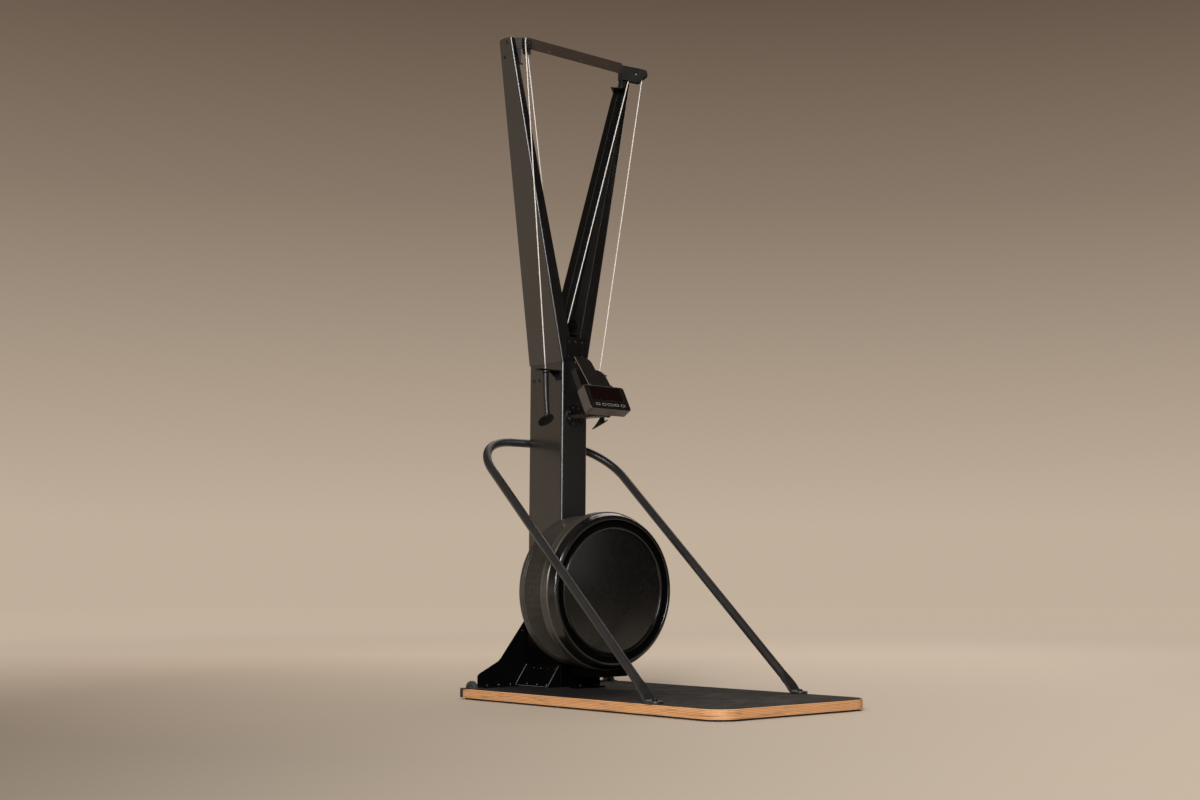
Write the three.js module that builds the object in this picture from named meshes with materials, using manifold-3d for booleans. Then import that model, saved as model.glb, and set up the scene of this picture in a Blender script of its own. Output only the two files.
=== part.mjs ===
// Ski trainer machine: a mast with a V of two arms on a plywood platform, a fan drum at its foot,
// a pull rope with a handle over the tip of each arm, a tilting console and a bent tube brace.
// Millimetres. +Z is up and the user stands on the -Y side. The origin lies on the floor, in the
// middle of the mast's front face.
import * as THREE from 'three';
import { mergeVertices } from 'three/addons/utils/BufferGeometryUtils.js';
import Module from 'manifold-3d';

const wasm = await Module();
wasm.setup();

// Clearances
const gap = 0.3;
const runGap = 0.5;
const overrun = 5;

// Platform
const boardWidth = 620;
const boardThickness = 27.8;
const boardFrontReach = 1016;
const boardRearMargin = 0.7;
const boardCornerRadius = 70;
const underlayThickness = 6;
const underlayInset = 10;
const matThickness = 1.5;
const matInset = 5;
const cornerSteps = 6;

// Transport wheels
const wheelRadius = 25.5;
const wheelWidth = 18;
const wheelCrown = 2;
const wheelFloorGap = 7;
const wheelInset = 26;
const wheelBack = 23.3;
const wheelPinRadius = 4;
const wheelSlotMargin = 6;
const wheelEar = 2.5;
const wheelEarRise = 10;
const wheelEarWidth = 26;
const wheelFootReach = 23.5;
const wheelLip = 12;
const wheelLipDrop = 26;
const wheelNutRadius = 7;
const wheelNutHeight = 3;

// Mast
const mastWidth = 106.2;
const mastDepth = 178;
const mastWall = 3;
const mastBend = 9;
const mastTop = 1092;
const mastBoltDrop = 52;
const mastBoltBack = 153;
const mastBoltPitch = 30;

// Arms
const armTip = 2143;
const armTipReach = 261.5;
const armTipFront = 22.3;
const armTipBack = 83;
const armSheet = 3;
const armBend = 7;
const armTipInner = 244.6;
const armFootInner = 0.6;
const spineDrop = 90;
const spineTopFront = 58.8;
const spineFootFront = 132;
const spineWall = 2.5;
const armBoltDrop = 13;
const armBoltPitch = 43;
const armBoltFront = 22;
const armBoltStep = 24;
const bendSteps = 4;

// Yoke plate and the guide pulleys behind it
const yokeRise = 6;
const yokeHeight = 80;
const yokeHalf = 45;
const yokeSheet = 3;
const yokeChamfer = 6;
const yokeBoltSide = 29;
const yokeBoltEdge = 16;
const guideRise = 137.9;
const guideRadius = 19;
const guideWidth = 10;
const guidePinRadius = 4;
const guidePlateSheet = 4;
const guidePlateHalf = 30;
const guideY = 70.2;

// Crossbar
const barDrop = 29.4;
const barHeight = 36.4;
const barSheet = 4;
const barFront = 7.4;
const barBendX = 200;
const barHoleRadius = 3;
const barHoleLeft = 112;
const barHoleRight = 24;
const barHoleRise = 8.4;
const splay = 43.6;
const capSheet = 3;
const capTipX = 187;
const capTipY = 51;
const capDrop = 69;
const capInset = 1.5;
const uprightHalf = 12;

// Pulley brackets and top pulleys
const pulleyX = 235;
const pulleyY = 28;
const pulleyDrop = 35;
const pulleyRadius = 24;
const pulleyWidth = 12;
const pulleyPinRadius = 4;
const ropeRadius = 1.75;
const ropeBend = 21.75;
const cheekSheet = 3;
const cheekGap = 14;
const clevisWeb = 48.2;
const cheekNose = 39;
const cheekTop = 33;
const cheekBottom = 30;
// Cheek outline: shares of the nose's reach forward, and of the height above or the drop below the axle
const cheekUpperShares = [[0.45, 0.56], [0.86, 0.38], [0.97, 0.24], [1, 0.06]];
const cheekLowerShares = [[0.93, 0.2], [0.47, 0.68], [0.32, 0.86], [0.15, 0.97]];
const cheekHeelShare = 0.56;
const axleHeadRadius = 7;
const axleHeadHeight = 3.5;
const axleSides = 12;

// Handles and their docks
const ropeDockX = 112.5;
const ropeDockY = 13.2;
const dockDrop = 28;
const dockSheet = 4;
const dockReach = 140;
const dockFront = 5;
const dockBack = 32;
const dockSlot = 6.4;
const dockGusset = 27;
const dockGussetReach = 31;
const dockPlateDrop = 31;
const collarRadius = 12.5;
const collarHeight = 6;
const gripTopRadius = 10.5;
const gripWaistRadius = 8.4;
const gripLength = 134;
const gripBow = 12;
const gripTaperShare = 0.8;
const gripSides = 14;
const gripRings = 9;
const handleTurnRight = 67;
const handleTurnLeft = -5;
const flareTopRadius = 8.8;
const flareLong = 32;
const flareShort = 25;
const flareSlope = 32;
const flareDrop = 21.5;
const flareSetback = 8;
const flareLip = 2.5;
const flareRings = 6;
const flarePowerShare = 2.4;

// Drum
const drumFloorGap = 58.1;
const drumBack = 20;
const housingRadius = 240;
const housingFront = 43;
const bandFront = 146;
const bandStep = 2;
const ringStep = 14;
const ringFront = 183;
const coverFront = 210;
const rimSetback = 18.4;
const rimWidth = 7.6;
const grooveWidth = 21.4;
const discFront = 209;
const discDish = 3;
const discMiddleShare = 0.72;
const discLipShare = 0.35;
const grooveFront = 199;
const drumWall = 3.5;
const drumSegments = 48;
const ventCount = 24;
const ventLength = 74;
const ventShare = 0.52;
const hubRadius = 62;
const hubNeck = 34;
const shaftRadius = 10;
const rotorClear = 18;
const rotorSheet = 3;
const rotorBack = 52;
const rotorHub = 42;
const rotorHubLength = 60;
const bladeCount = 16;
const bladeInner = 128;
const bladeDepth = 74;
const bladeSheet = 3;
const frontBearingRadius = 26;
const frontBearingDepth = 26;

// Rope spools on the shaft inside the mast
const spoolCore = 19.7;
const spoolFlange = 27;
const spoolWidth = 24;
const spoolFlangeSheet = 3;
const spoolLeftY = 45;
const spoolRightY = 95;

// Cradle under the drum
const cradleHalf = 60;
const cradleBack = 60;
const cradleFront = 202;
const cradleBottom = 75;
const cradleLegSheet = 6;
const cradleFoot = 34;
const cradleFootSheet = 5;

// Rear gusset plate
const gussetSheet = 4;
const gussetMargin = 62.5;
const gussetEdgeRise = 37;
const gussetLowShare = 0.966;
const gussetLowRise = 44;
const gussetKneeShare = 0.667;
const gussetKneeRise = 81;
const gussetNeckShare = 0.63;
const gussetNeckRise = 90;
const gussetHighShare = 0.299;
const gussetHighRise = 195;
const gussetTopShare = 0.186;
const gussetTopRise = 231;
const gussetFlange = 44;
const gussetFlangeShare = 0.469;
const gussetBoltShares = [0.913, 0.727, 0.541];
const gussetHoleShare = 0.283;
const gussetHoleRise = 177;
const mastFixRise = 205;
const mastFixHalf = 30;

// Side brackets at the mast's foot
const sideSheet = 4;
const sideHeight = 69;
const sideFlange = 50;
const sideFrontReach = 2;
const sideBackMargin = 6;
const ribSheet = 4;
const ribTopWidth = 5;
const sideBoltRise = 56;
const sideBoltFirst = 22;
const sideBoltPitch = 37;
const sideBoltCount = 4;
const flangeBoltCount = 3;
const flangeBoltPitch = 52;
const flangeBoltFirst = 34;

// Bolt heads
const boltRadius = 6;
const boltHeight = 4;
const smallBoltRadius = 4.5;
const smallBoltHeight = 2.5;
const boltSides = 6;

// Brace
const braceRadius = 14;
const braceOutset = 19.5;
const braceStandoff = 19;
const braceCornerZ = 835;
const braceFootMargin = 16;
const braceFootY = 711;
const braceFootRise = 16;
const braceBendRadius = 163;
const braceSides = 12;
const braceBendSteps = 8;
const braceFootLength = 62;
const footWidth = 44;
const footSheet = 8;
const footReach = 50;
const footPressShare = 0.62;
const footThinShare = 0.7;
const footBoltSetback = 26;
const footSides = 12;
const clampHalf = 24;
const clampSheet = 4;
const clampWidth = 34;
const clampPlateHeight = 62;
const clampScrewRise = 23;
const clampScrewShare = 0.8;

// Console, in the tilted frame of its face
const caseTilt = 29;
const caseX = 84;
const caseFaceY = 190;
const caseFaceRise = 8;
const caseHeight = 92;
const caseDepth = 38;
const caseCorner = 9;
const caseEdge = 3;
const rimShare = 0.29;
const screenHalf = 64;
const screenBottom = 34;
const screenTop = 84;
const screenDepth = 2;
const keyHeight = 9;
const keyBottom = 12;
const keyHalf = 8;
const keyCentreHalf = 12;
const keyPitch = 26;
const keyBody = 4;
const keyProud = 1.4;
const keyPocket = 6;
const knobX = 45;
const knobRadius = 5;
const knobHeight = 6;
const knobBack = 14;
const knobPocket = 5;
const pinBack = 11;
const pinRise = 12;
const pinRadius = 4;
const lugRadius = 9;
const lugInner = 22;
const lugSheet = 5;
const barrelRadius = 8.5;
const consoleArmHalf = 20;
const consoleArmTop = 7;
const consoleArmBottom = 6;
const consoleFlangeRadius = 36;
const consoleFlangeSheet = 6;
const consoleFlangeDrop = 175;
const consoleBoltCircle = 27;
const consoleBoltCount = 8;
const backPlateSheet = 3;
const backPlateLip = 20;
const backPlateLeft = 75;
const backPlateRight = 20;
const backPlateBottom = 30;
const backPlateTop = 176;

// Phone rest and clamp
const restTilt = 38;
const restLeft = 46;
const restRight = 17;
const restHeight = 130;
const restSheet = 3;
const restCorner = 24;
const restBack = 12;
const restLift = 0.7;
const clampLeft = 17.8;
const clampRight = 46;
const clampHeight = 76;
const clampCorner = 26;
const clampSlideSheet = 3;
const restFootSheet = 3;

const deg = Math.PI / 180;
const half = 0.5;
const full = 1;
const turn = Math.PI * 2;

// Levels and places that follow from the sizes above
const boardTop = underlayThickness + boardThickness;
const deck = boardTop + matThickness;
const mastHalf = mastWidth * half;
const gussetY = mastDepth + gap;
const boardRear = gussetY + gussetSheet + boardRearMargin;
const boardHalf = boardWidth * half;
const wheelX = boardHalf - wheelInset;
const wheelY = boardRear - wheelBack;
const wheelZ = wheelFloorGap + wheelRadius;
const wheelSlotHalf = wheelWidth * half + wheelEar + gap * 2 + runGap;
const gussetHalf = boardHalf - gussetMargin;
const bandRadius = housingRadius - bandStep;
const ringRadius = bandRadius + ringStep;
const rimRadius = ringRadius - rimSetback;
const rimInner = rimRadius - rimWidth;
const discRadius = rimInner - grooveWidth;
const rotorRadius = housingRadius - rotorClear;
const shaftHeight = deck + drumFloorGap + ringRadius;
const braceHalf = ringRadius + braceOutset;
const braceCornerY = mastDepth + braceStandoff;
const braceFootX = boardHalf - braceFootMargin;
const yokeBottom = mastTop + yokeRise;
const yokeTop = yokeBottom + yokeHeight;
const guideHeight = mastTop + guideRise;
const barBottom = armTip - barDrop;
const spineTop = armTip - spineDrop;
const capTop = armTip - capDrop;
const pulleyHeight = armTip - pulleyDrop;
const dockTop = mastTop - dockDrop;
const consoleFlangeZ = mastTop - consoleFlangeDrop;
const caseFaceZ = consoleFlangeZ + caseFaceRise;

// ---------------------------------------------------------------- geometry tools
const weldStep = 0.001;

function weld(geometry) {
  const plain = geometry.clone();
  plain.deleteAttribute('normal');
  plain.deleteAttribute('uv');
  const merged = mergeVertices(plain, weldStep);
  const source = merged.index.array;
  const faces = [];
  for (let i = 0; i < source.length; i += 3) {
    const [a, b, c] = [source[i], source[i + 1], source[i + 2]];
    if (a !== b && b !== c && c !== a) faces.push(a, b, c);
  }
  const p = merged.attributes.position;
  const [u, v, w] = [new THREE.Vector3(), new THREE.Vector3(), new THREE.Vector3()];
  let volume = 0;
  for (let i = 0; i < faces.length; i += 3) {
    u.fromBufferAttribute(p, faces[i]);
    v.fromBufferAttribute(p, faces[i + 1]);
    w.fromBufferAttribute(p, faces[i + 2]);
    volume += u.dot(v.cross(w));
  }
  if (volume < 0) {
    for (let i = 0; i < faces.length; i += 3) {
      [faces[i + 1], faces[i + 2]] = [faces[i + 2], faces[i + 1]];
    }
  }
  const out = new THREE.BufferGeometry();
  out.setAttribute('position', p.clone());
  out.setIndex(faces);
  return out;
}

function solid(geometry) {
  const g = weld(geometry);
  return new wasm.Manifold(new wasm.Mesh({
    numProp: 3,
    vertProperties: new Float32Array(g.attributes.position.array),
    triVerts: new Uint32Array(g.index.array),
  }));
}

function surface(body) {
  const mesh = body.getMesh();
  const g = new THREE.BufferGeometry();
  const points = new Float32Array(mesh.numVert * 3);
  for (let i = 0; i < mesh.numVert; i++) {
    for (let k = 0; k < 3; k++) points[i * 3 + k] = mesh.vertProperties[i * mesh.numProp + k];
  }
  g.setAttribute('position', new THREE.BufferAttribute(points, 3));
  g.setIndex(Array.from(mesh.triVerts));
  return g;
}

const join = (...parts) => surface(parts.map(solid).reduce((a, b) => a.add(b)));
const cut = (base, ...tools) => surface(tools.map(solid).reduce((a, b) => a.subtract(b), solid(base)));
const mirror = (geometry) => weld(geometry.clone().scale(-full, full, full));

function box(x0, x1, y0, y1, z0, z1) {
  const g = new THREE.BoxGeometry(x1 - x0, y1 - y0, z1 - z0);
  return g.translate((x0 + x1) * half, (y0 + y1) * half, (z0 + z1) * half);
}

// Turns a shape drawn in two axes and run out along the third into place.
const frames = {
  x: new THREE.Matrix4().set(0, 0, 1, 0, 1, 0, 0, 0, 0, 1, 0, 0, 0, 0, 0, 1),
  y: new THREE.Matrix4().set(1, 0, 0, 0, 0, 0, -1, 0, 0, 1, 0, 0, 0, 0, 0, 1),
  z: new THREE.Matrix4(),
};

function prism(points, axis, from, to, holes = []) {
  const shape = new THREE.Shape(points.map(([a, b]) => new THREE.Vector2(a, b)));
  for (const h of holes) shape.holes.push(new THREE.Path(h.map(([a, b]) => new THREE.Vector2(a, b))));
  const g = new THREE.ExtrudeGeometry(shape, { depth: to - from, bevelEnabled: false });
  g.applyMatrix4(frames[axis]);
  if (axis === 'x') return g.translate(from, 0, 0);
  if (axis === 'y') return g.translate(0, to, 0);
  return g.translate(0, 0, from);
}

function circle(a, b, r, sides) {
  const list = [];
  for (let i = 0; i < sides; i++) {
    list.push([a + r * Math.cos((turn * i) / sides), b + r * Math.sin((turn * i) / sides)]);
  }
  return list;
}

const rod = (axis, a, b, r, from, to, sides) => prism(circle(a, b, r, sides), axis, from, to);
const bolt = (axis, a, b, from, to) => rod(axis, a, b, boltRadius, from, to, boltSides);
const smallBolt = (axis, a, b, from, to) => rod(axis, a, b, smallBoltRadius, from, to, boltSides);

// A ring or disc turned about the Y axis; profile points are [radius, distance towards the user].
function turned(profile, segments) {
  const closedOnAxis = profile[0][0] === 0 && profile[profile.length - 1][0] === 0;
  const loop = closedOnAxis ? profile : [...profile, profile[0]];
  return new THREE.LatheGeometry(loop.map(([r, y]) => new THREE.Vector2(r, -y)), segments);
}

function roundedRect(x0, x1, y0, y1, radii, steps) {
  const corners = [
    [x1, y0, radii[0], -1, 1, -90],
    [x1, y1, radii[1], -1, -1, 0],
    [x0, y1, radii[2], 1, -1, 90],
    [x0, y0, radii[3], 1, 1, 180],
  ];
  const list = [];
  for (const [cx, cy, r, sx, sy, start] of corners) {
    if (r === 0) {
      list.push([cx, cy]);
      continue;
    }
    for (let i = 0; i <= steps; i++) {
      const a = (start + (i * 90) / steps) * deg;
      list.push([cx + sx * r + r * Math.cos(a), cy + sy * r + r * Math.sin(a)]);
    }
  }
  return list;
}

// A closed skin through level rings of points with the same count, capped at both ends.
function loft(rings) {
  const n = rings[0].length;
  const points = rings.flat();
  const faces = [];
  for (let r = 0; r < rings.length - 1; r++) {
    for (let i = 0; i < n; i++) {
      const j = (i + 1) % n;
      const [a, b, c, d] = [r * n + i, r * n + j, (r + 1) * n + j, (r + 1) * n + i];
      faces.push(a, b, c, a, c, d);
    }
  }
  const flat = rings[0].map(([x, y]) => new THREE.Vector2(x, y));
  const cap = THREE.ShapeUtils.triangulateShape(flat, []);
  const ccw = THREE.ShapeUtils.area(flat) > 0;
  const last = (rings.length - 1) * n;
  for (const [a, b, c] of cap) {
    if (ccw) faces.push(c, b, a, last + a, last + b, last + c);
    else faces.push(a, b, c, last + c, last + b, last + a);
  }
  const g = new THREE.BufferGeometry();
  g.setAttribute('position', new THREE.Float32BufferAttribute(points.flat(), 3));
  g.setIndex(faces);
  return g;
}

// A curve through chosen points, square across each bend, for tubes and ropes.
class Route extends THREE.Curve {
  constructor(points) {
    super();
    this.points = points;
  }

  getPoint(t, target = new THREE.Vector3()) {
    return target.copy(this.points[Math.round(t * (this.points.length - 1))]);
  }

  getSpacedPoints() {
    return this.points;
  }

  getTangentAt(t, target = new THREE.Vector3()) {
    const i = Math.round(t * (this.points.length - 1));
    const before = this.points[Math.max(i - 1, 0)];
    const after = this.points[Math.min(i + 1, this.points.length - 1)];
    const here = this.points[i];
    const one = here.clone().sub(before).normalize();
    const two = after.clone().sub(here).normalize();
    return target.copy(one.add(two)).normalize();
  }
}

function tube(points, radius, sides) {
  const shape = new THREE.Shape(circle(0, 0, radius, sides).map(([a, b]) => new THREE.Vector2(a, b)));
  const route = new Route(points);
  return new THREE.ExtrudeGeometry(shape, {
    steps: points.length - 1,
    extrudePath: route,
    bevelEnabled: false,
  });
}

function arc(centre, from, to, radius, steps) {
  const list = [];
  const angle = from.angleTo(to);
  const axis = from.clone().cross(to).normalize();
  for (let i = 0; i <= steps; i++) {
    list.push(from.clone().applyAxisAngle(axis, (angle * i) / steps).multiplyScalar(radius).add(centre));
  }
  return list;
}

// ---------------------------------------------------------------- materials
const paint = (color, roughness, metalness) => new THREE.MeshStandardMaterial({ color, roughness, metalness });
const looks = {
  ply: () => paint(0xc98a4b, 0.6, 0),
  grip: () => paint(0x2b2723, 0.95, 0),
  rubber: () => paint(0x1a1a1a, 0.9, 0),
  steel: () => paint(0x3a3531, 0.5, 0.5),
  black: () => paint(0x16150f, 0.5, 0.4),
  plastic: () => paint(0x1d1b19, 0.45, 0),
  gloss: () => paint(0x0e0d0d, 0.2, 0),
  rope: () => paint(0xcfc6bb, 0.8, 0),
  bright: () => paint(0xb8b8b8, 0.3, 0.9),
};

const model = new THREE.Group();

function add(name, geometry, look, parent = model) {
  const g = weld(geometry).toNonIndexed();
  g.computeVertexNormals();
  const mesh = new THREE.Mesh(g, looks[look]());
  mesh.name = name;
  parent.add(mesh);
  return mesh;
}

// Adds a piece on the +X side as the right one and its mirror image as the left one.
function pair(name, geometry, look) {
  add(`${name}_right`, geometry, look);
  add(`${name}_left`, mirror(geometry), look);
}

// ---------------------------------------------------------------- platform
const wheelSlot = [
  wheelX - wheelSlotHalf, wheelX + wheelSlotHalf, wheelY - wheelRadius - wheelSlotMargin, boardRear + overrun,
];
const bothSides = (g) => [g, mirror(g)];
const slotTools = (z0, z1) => bothSides(box(...wheelSlot, z0, z1));
const boardOutline = roundedRect(
  -boardHalf, boardHalf, -boardFrontReach, boardRear, [boardCornerRadius, 0, 0, boardCornerRadius], cornerSteps,
);
add('platform_board', cut(
  prism(boardOutline, 'z', underlayThickness, boardTop),
  ...slotTools(-overrun, deck + overrun),
), 'ply');

const underlayRadius = boardCornerRadius - underlayInset;
add('underlay', cut(
  prism(roundedRect(
    -boardHalf + underlayInset, boardHalf - underlayInset,
    -boardFrontReach + underlayInset, boardRear - underlayInset,
    [underlayRadius, 0, 0, underlayRadius], cornerSteps,
  ), 'z', 0, underlayThickness),
  ...slotTools(-overrun, deck + overrun),
), 'rubber');

const matRadius = boardCornerRadius - matInset;
const matNotchX = wheelX - wheelSlotHalf - wheelFootReach - matInset;
add('grip_mat', cut(
  prism(roundedRect(
    -boardHalf + matInset, boardHalf - matInset,
    -boardFrontReach + matInset, boardRear - matInset,
    [matRadius, 0, 0, matRadius], cornerSteps,
  ), 'z', boardTop, deck),
  ...bothSides(box(
    matNotchX, boardHalf, wheelY - wheelRadius - wheelSlotMargin - matInset, boardRear + overrun,
    boardTop - overrun, deck + overrun,
  )),
), 'grip');

// ---------------------------------------------------------------- transport wheels
{
  const hub = wheelWidth * half;
  const bore = wheelPinRadius + gap;
  const profile = [
    [bore, -hub], [wheelRadius - wheelCrown, -hub], [wheelRadius, -hub + wheelCrown],
    [wheelRadius, hub - wheelCrown], [wheelRadius - wheelCrown, hub], [bore, hub],
  ];
  const wheel = turned(profile, 24).rotateZ(Math.PI * half).translate(wheelX, wheelY, wheelZ);
  pair('wheel', wheel, 'rubber');

  const inner = wheelX - hub - runGap - wheelEar;
  const outer = wheelX + hub + runGap;
  const earBack = wheelY + wheelEarWidth * half;
  const earFront = wheelY - wheelEarWidth * half;
  const earTop = boardTop + wheelEarRise;
  const innerEar = box(inner, inner + wheelEar, earFront, earBack, wheelZ - wheelPinRadius * 2, earTop);
  const innerFoot = box(
    inner - wheelFootReach, inner + wheelEar, earFront, boardRear, boardTop, boardTop + wheelEar,
  );
  const outerEar = box(outer, outer + wheelEar, earFront, earBack, wheelZ - wheelPinRadius * 2, boardTop + wheelEar);
  const outerCap = box(outer, boardHalf + gap + wheelEar, earFront, boardRear, boardTop, boardTop + wheelEar);
  const lip = box(
    boardHalf + gap, boardHalf + gap + wheelEar, boardRear - wheelLip, boardRear,
    boardTop - wheelLipDrop, boardTop + wheelEar,
  );
  const pin = rod('x', wheelY, wheelZ, wheelPinRadius, inner, outer + wheelEar, 12);
  const screw = rod(
    'z', inner - wheelFootReach * half, wheelY, wheelNutRadius, boardTop, boardTop + wheelEar + wheelNutHeight, boltSides,
  );
  pair('wheel_bracket', join(innerEar, innerFoot, outerEar, outerCap, lip, pin, screw), 'black');
}

// ---------------------------------------------------------------- mast
const mastOutline = roundedRect(
  -mastHalf, mastHalf, 0, mastDepth, [mastBend, mastBend, mastBend, mastBend], bendSteps,
);
const mastInnerBend = mastBend - mastWall;
const mastHollow = roundedRect(
  -mastHalf + mastWall, mastHalf - mastWall, mastWall, mastDepth - mastWall,
  [mastInnerBend, mastInnerBend, mastInnerBend, mastInnerBend], bendSteps,
);
const shaftBore = rod(
  'y', 0, shaftHeight, shaftRadius + gap, -overrun, mastDepth + overrun, 24,
);
{
  const bolts = [];
  for (let i = 0; i < 2; i++) {
    const y = mastBoltBack - i * mastBoltPitch;
    bolts.push(...bothSides(smallBolt('x', y, mastTop - mastBoltDrop, mastHalf - mastWall, mastHalf + smallBoltHeight)));
  }
  const column = prism(mastOutline, 'z', deck, mastTop, [mastHollow]);
  add('mast_column', cut(join(column, ...bolts), shaftBore), 'steel');
}

// ---------------------------------------------------------------- arms
const armFoot = mastTop + gap;
const along = (z) => (z - armFoot) / (armTip - armFoot);
const blend = (a, b, z) => a + (b - a) * along(z);
const armOuter = (z) => blend(mastHalf, armTipReach, z);
const armInner = (z) => blend(armFootInner, armTipInner, z);
const armFront = (z) => blend(0, armTipFront, z);
const armBack = (z) => blend(mastDepth, armTipBack, z);
const spineFront = (z) => spineFootFront
  + ((spineTopFront - spineFootFront) * (z - armFoot)) / (spineTop - armFoot);

function coverRing(z) {
  const [outer, inner, front, back] = [armOuter(z), armInner(z), armFront(z), armBack(z)];
  const list = [[outer, back, z]];
  for (let i = 0; i <= bendSteps; i++) {
    const a = ((90 * i) / bendSteps) * deg;
    list.push([outer - armBend + armBend * Math.cos(a), front + armBend - armBend * Math.sin(a), z]);
  }
  list.push([inner, front, z], [inner, front + armSheet, z]);
  const tight = armBend - armSheet;
  for (let i = bendSteps; i >= 0; i--) {
    const a = ((90 * i) / bendSteps) * deg;
    list.push([outer - armBend + tight * Math.cos(a), front + armBend - tight * Math.sin(a), z]);
  }
  list.push([outer - armSheet, back, z]);
  return list;
}
{
  const heads = [];
  for (let i = 0; i < 2; i++) {
    const z = armTip - armBoltDrop - i * armBoltPitch;
    const y = armFront(z) + armBoltFront + i * armBoltStep;
    heads.push(smallBolt('x', y, z, armOuter(z) - armSheet, armOuter(z) + smallBoltHeight));
  }
  pair('arm_cover', join(loft([coverRing(armFoot), coverRing(armTip)]), ...heads), 'steel');
}

function spineRing(z, inset) {
  const [outer, inner] = [armOuter(z) - armSheet - gap - inset, armInner(z) + inset];
  const [front, back] = [spineFront(z) + inset, armBack(z) - inset];
  return [[outer, back, z], [inner, back, z], [inner, front, z], [outer, front, z]];
}
{
  const rise = (armTip - armFoot) * half;
  const low = armFoot - rise;
  const high = spineTop + rise;
  const shell = loft([spineRing(armFoot, 0), spineRing(spineTop, 0)]);
  const bore = loft([spineRing(low, spineWall), spineRing(high, spineWall)]);
  const trim = box(-armTipReach * 2, armTipReach * 2, -mastDepth, mastDepth * 2, armFoot - overrun, spineTop + overrun);
  const inside = surface(solid(bore).intersect(solid(trim)));
  pair('arm_spine', cut(shell, inside), 'black');
}

// ---------------------------------------------------------------- yoke plate
{
  const c = yokeChamfer;
  const outline = [
    [-yokeHalf + c, yokeBottom], [yokeHalf - c, yokeBottom], [yokeHalf, yokeBottom + c],
    [yokeHalf, yokeTop], [-yokeHalf, yokeTop], [-yokeHalf, yokeBottom + c],
  ];
  const plate = prism(outline, 'y', -gap - yokeSheet, -gap);
  const heads = [];
  const spots = [-yokeBoltSide, 0, yokeBoltSide].map((x) => [x, yokeTop - yokeBoltEdge]);
  spots.push(...[-yokeBoltSide, yokeBoltSide].map((x) => [x, yokeBottom + yokeBoltEdge]));
  for (const [x, z] of spots) {
    heads.push(smallBolt('y', x, z, -gap - yokeSheet - smallBoltHeight, -gap));
  }
  add('yoke_plate', join(plate, ...heads), 'black');
}

// ---------------------------------------------------------------- top pulleys, ropes and guide pulleys
const cs = Math.cos(splay * deg);
const sn = Math.sin(splay * deg);
const outward = new THREE.Vector3(sn, -cs, 0);
const pulleyCentre = new THREE.Vector3(pulleyX, -pulleyY, pulleyHeight);
const ropeExit = pulleyCentre.clone().addScaledVector(outward, ropeBend);
const ropeEntry = pulleyCentre.clone().addScaledVector(outward, -ropeBend);
const spoolRopeX = spoolCore + gap + ropeRadius;
const guideRopeRadius = guideRadius - 2 * ropeRadius + ropeRadius + gap;
const guideX = spoolRopeX + guideRopeRadius;
const guideCentre = new THREE.Vector3(guideX, guideY, guideHeight);

function pulleyProfile(radius, width, groove, bore) {
  const w = width * half;
  const lip = w * ventShare * half;
  return [
    [bore, -w], [radius, -w], [radius, -w + lip], [groove, -ropeRadius], [groove, ropeRadius],
    [radius, w - lip], [radius, w], [bore, w],
  ];
}
const topGroove = ropeBend - ropeRadius - gap;
const topBore = pulleyPinRadius + gap;
{
  const wheel = turned(pulleyProfile(pulleyRadius, pulleyWidth, topGroove, topBore), 24);
  wheel.rotateZ(Math.PI * half);
  wheel.rotateZ(splay * deg).translate(...pulleyCentre.toArray());
  pair('top_pulley', wheel, 'plastic');

  // Cheeks lie along the splayed direction: local x across, local y back towards the bar.
  const w = clevisWeb;
  const cheek = [
    [w, cheekTop],
    ...cheekUpperShares.map(([a, b]) => [-cheekNose * a, cheekTop * b]),
    ...cheekLowerShares.map(([a, b]) => [-cheekNose * a, -cheekBottom * b]),
    [0, -cheekBottom], [w, -cheekBottom * cheekHeelShare],
  ];
  const inner = cheekGap * half;
  const near = prism(cheek, 'x', -inner - cheekSheet, -inner);
  const far = prism(cheek, 'x', inner, inner + cheekSheet);
  const web = box(-inner - cheekSheet, inner + cheekSheet, w - cheekSheet, w, -cheekBottom * cheekHeelShare, cheekTop);
  const axle = rod('x', 0, 0, pulleyPinRadius, -inner - cheekSheet - axleHeadHeight,
    inner + cheekSheet + axleHeadHeight, axleSides);
  const headA = rod('x', 0, 0, axleHeadRadius, -inner - cheekSheet - axleHeadHeight, -inner - cheekSheet, boltSides);
  const headB = rod('x', 0, 0, axleHeadRadius, inner + cheekSheet, inner + cheekSheet + axleHeadHeight, boltSides);
  const webBolt = smallBolt('y', 0, 0, w - cheekSheet - smallBoltHeight, w);
  const bracket = join(near, far, web, axle, headA, headB, webBolt);
  bracket.rotateZ(splay * deg).translate(...pulleyCentre.toArray());
  pair('pulley_bracket', bracket, 'black');
}

const dockRope = new THREE.Vector3(ropeDockX, ropeDockY, dockTop - dockSheet - gap);
{
  const start = ropeExit.clone();
  start.z -= ropeRadius * half;
  pair('rope_outer', tube([start, dockRope], ropeRadius, 8), 'rope');

  const up = new THREE.Vector3(0, 0, 1);
  const over = [
    ...arc(pulleyCentre, outward, up, ropeBend, 6),
    ...arc(pulleyCentre, up, outward.clone().negate(), ropeBend, 6).slice(1),
  ];
  const lean = Math.atan2(ropeEntry.x - spoolRopeX, ropeEntry.z - guideHeight);
  const bend = [];
  for (let i = 4; i >= 0; i--) {
    const a = (lean * i) / 4;
    bend.push(new THREE.Vector3(
      guideX - guideRopeRadius * Math.cos(a), guideY, guideHeight + guideRopeRadius * Math.sin(a),
    ));
  }
  for (const [side, spoolY] of [['right', spoolRightY], ['left', spoolLeftY]]) {
    const end = new THREE.Vector3(spoolRopeX, spoolY, shaftHeight);
    const rope = tube([...over, ...bend, end], ropeRadius, 8);
    add(`rope_inner_${side}`, side === 'right' ? rope : mirror(rope), 'rope');
  }
}

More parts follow.
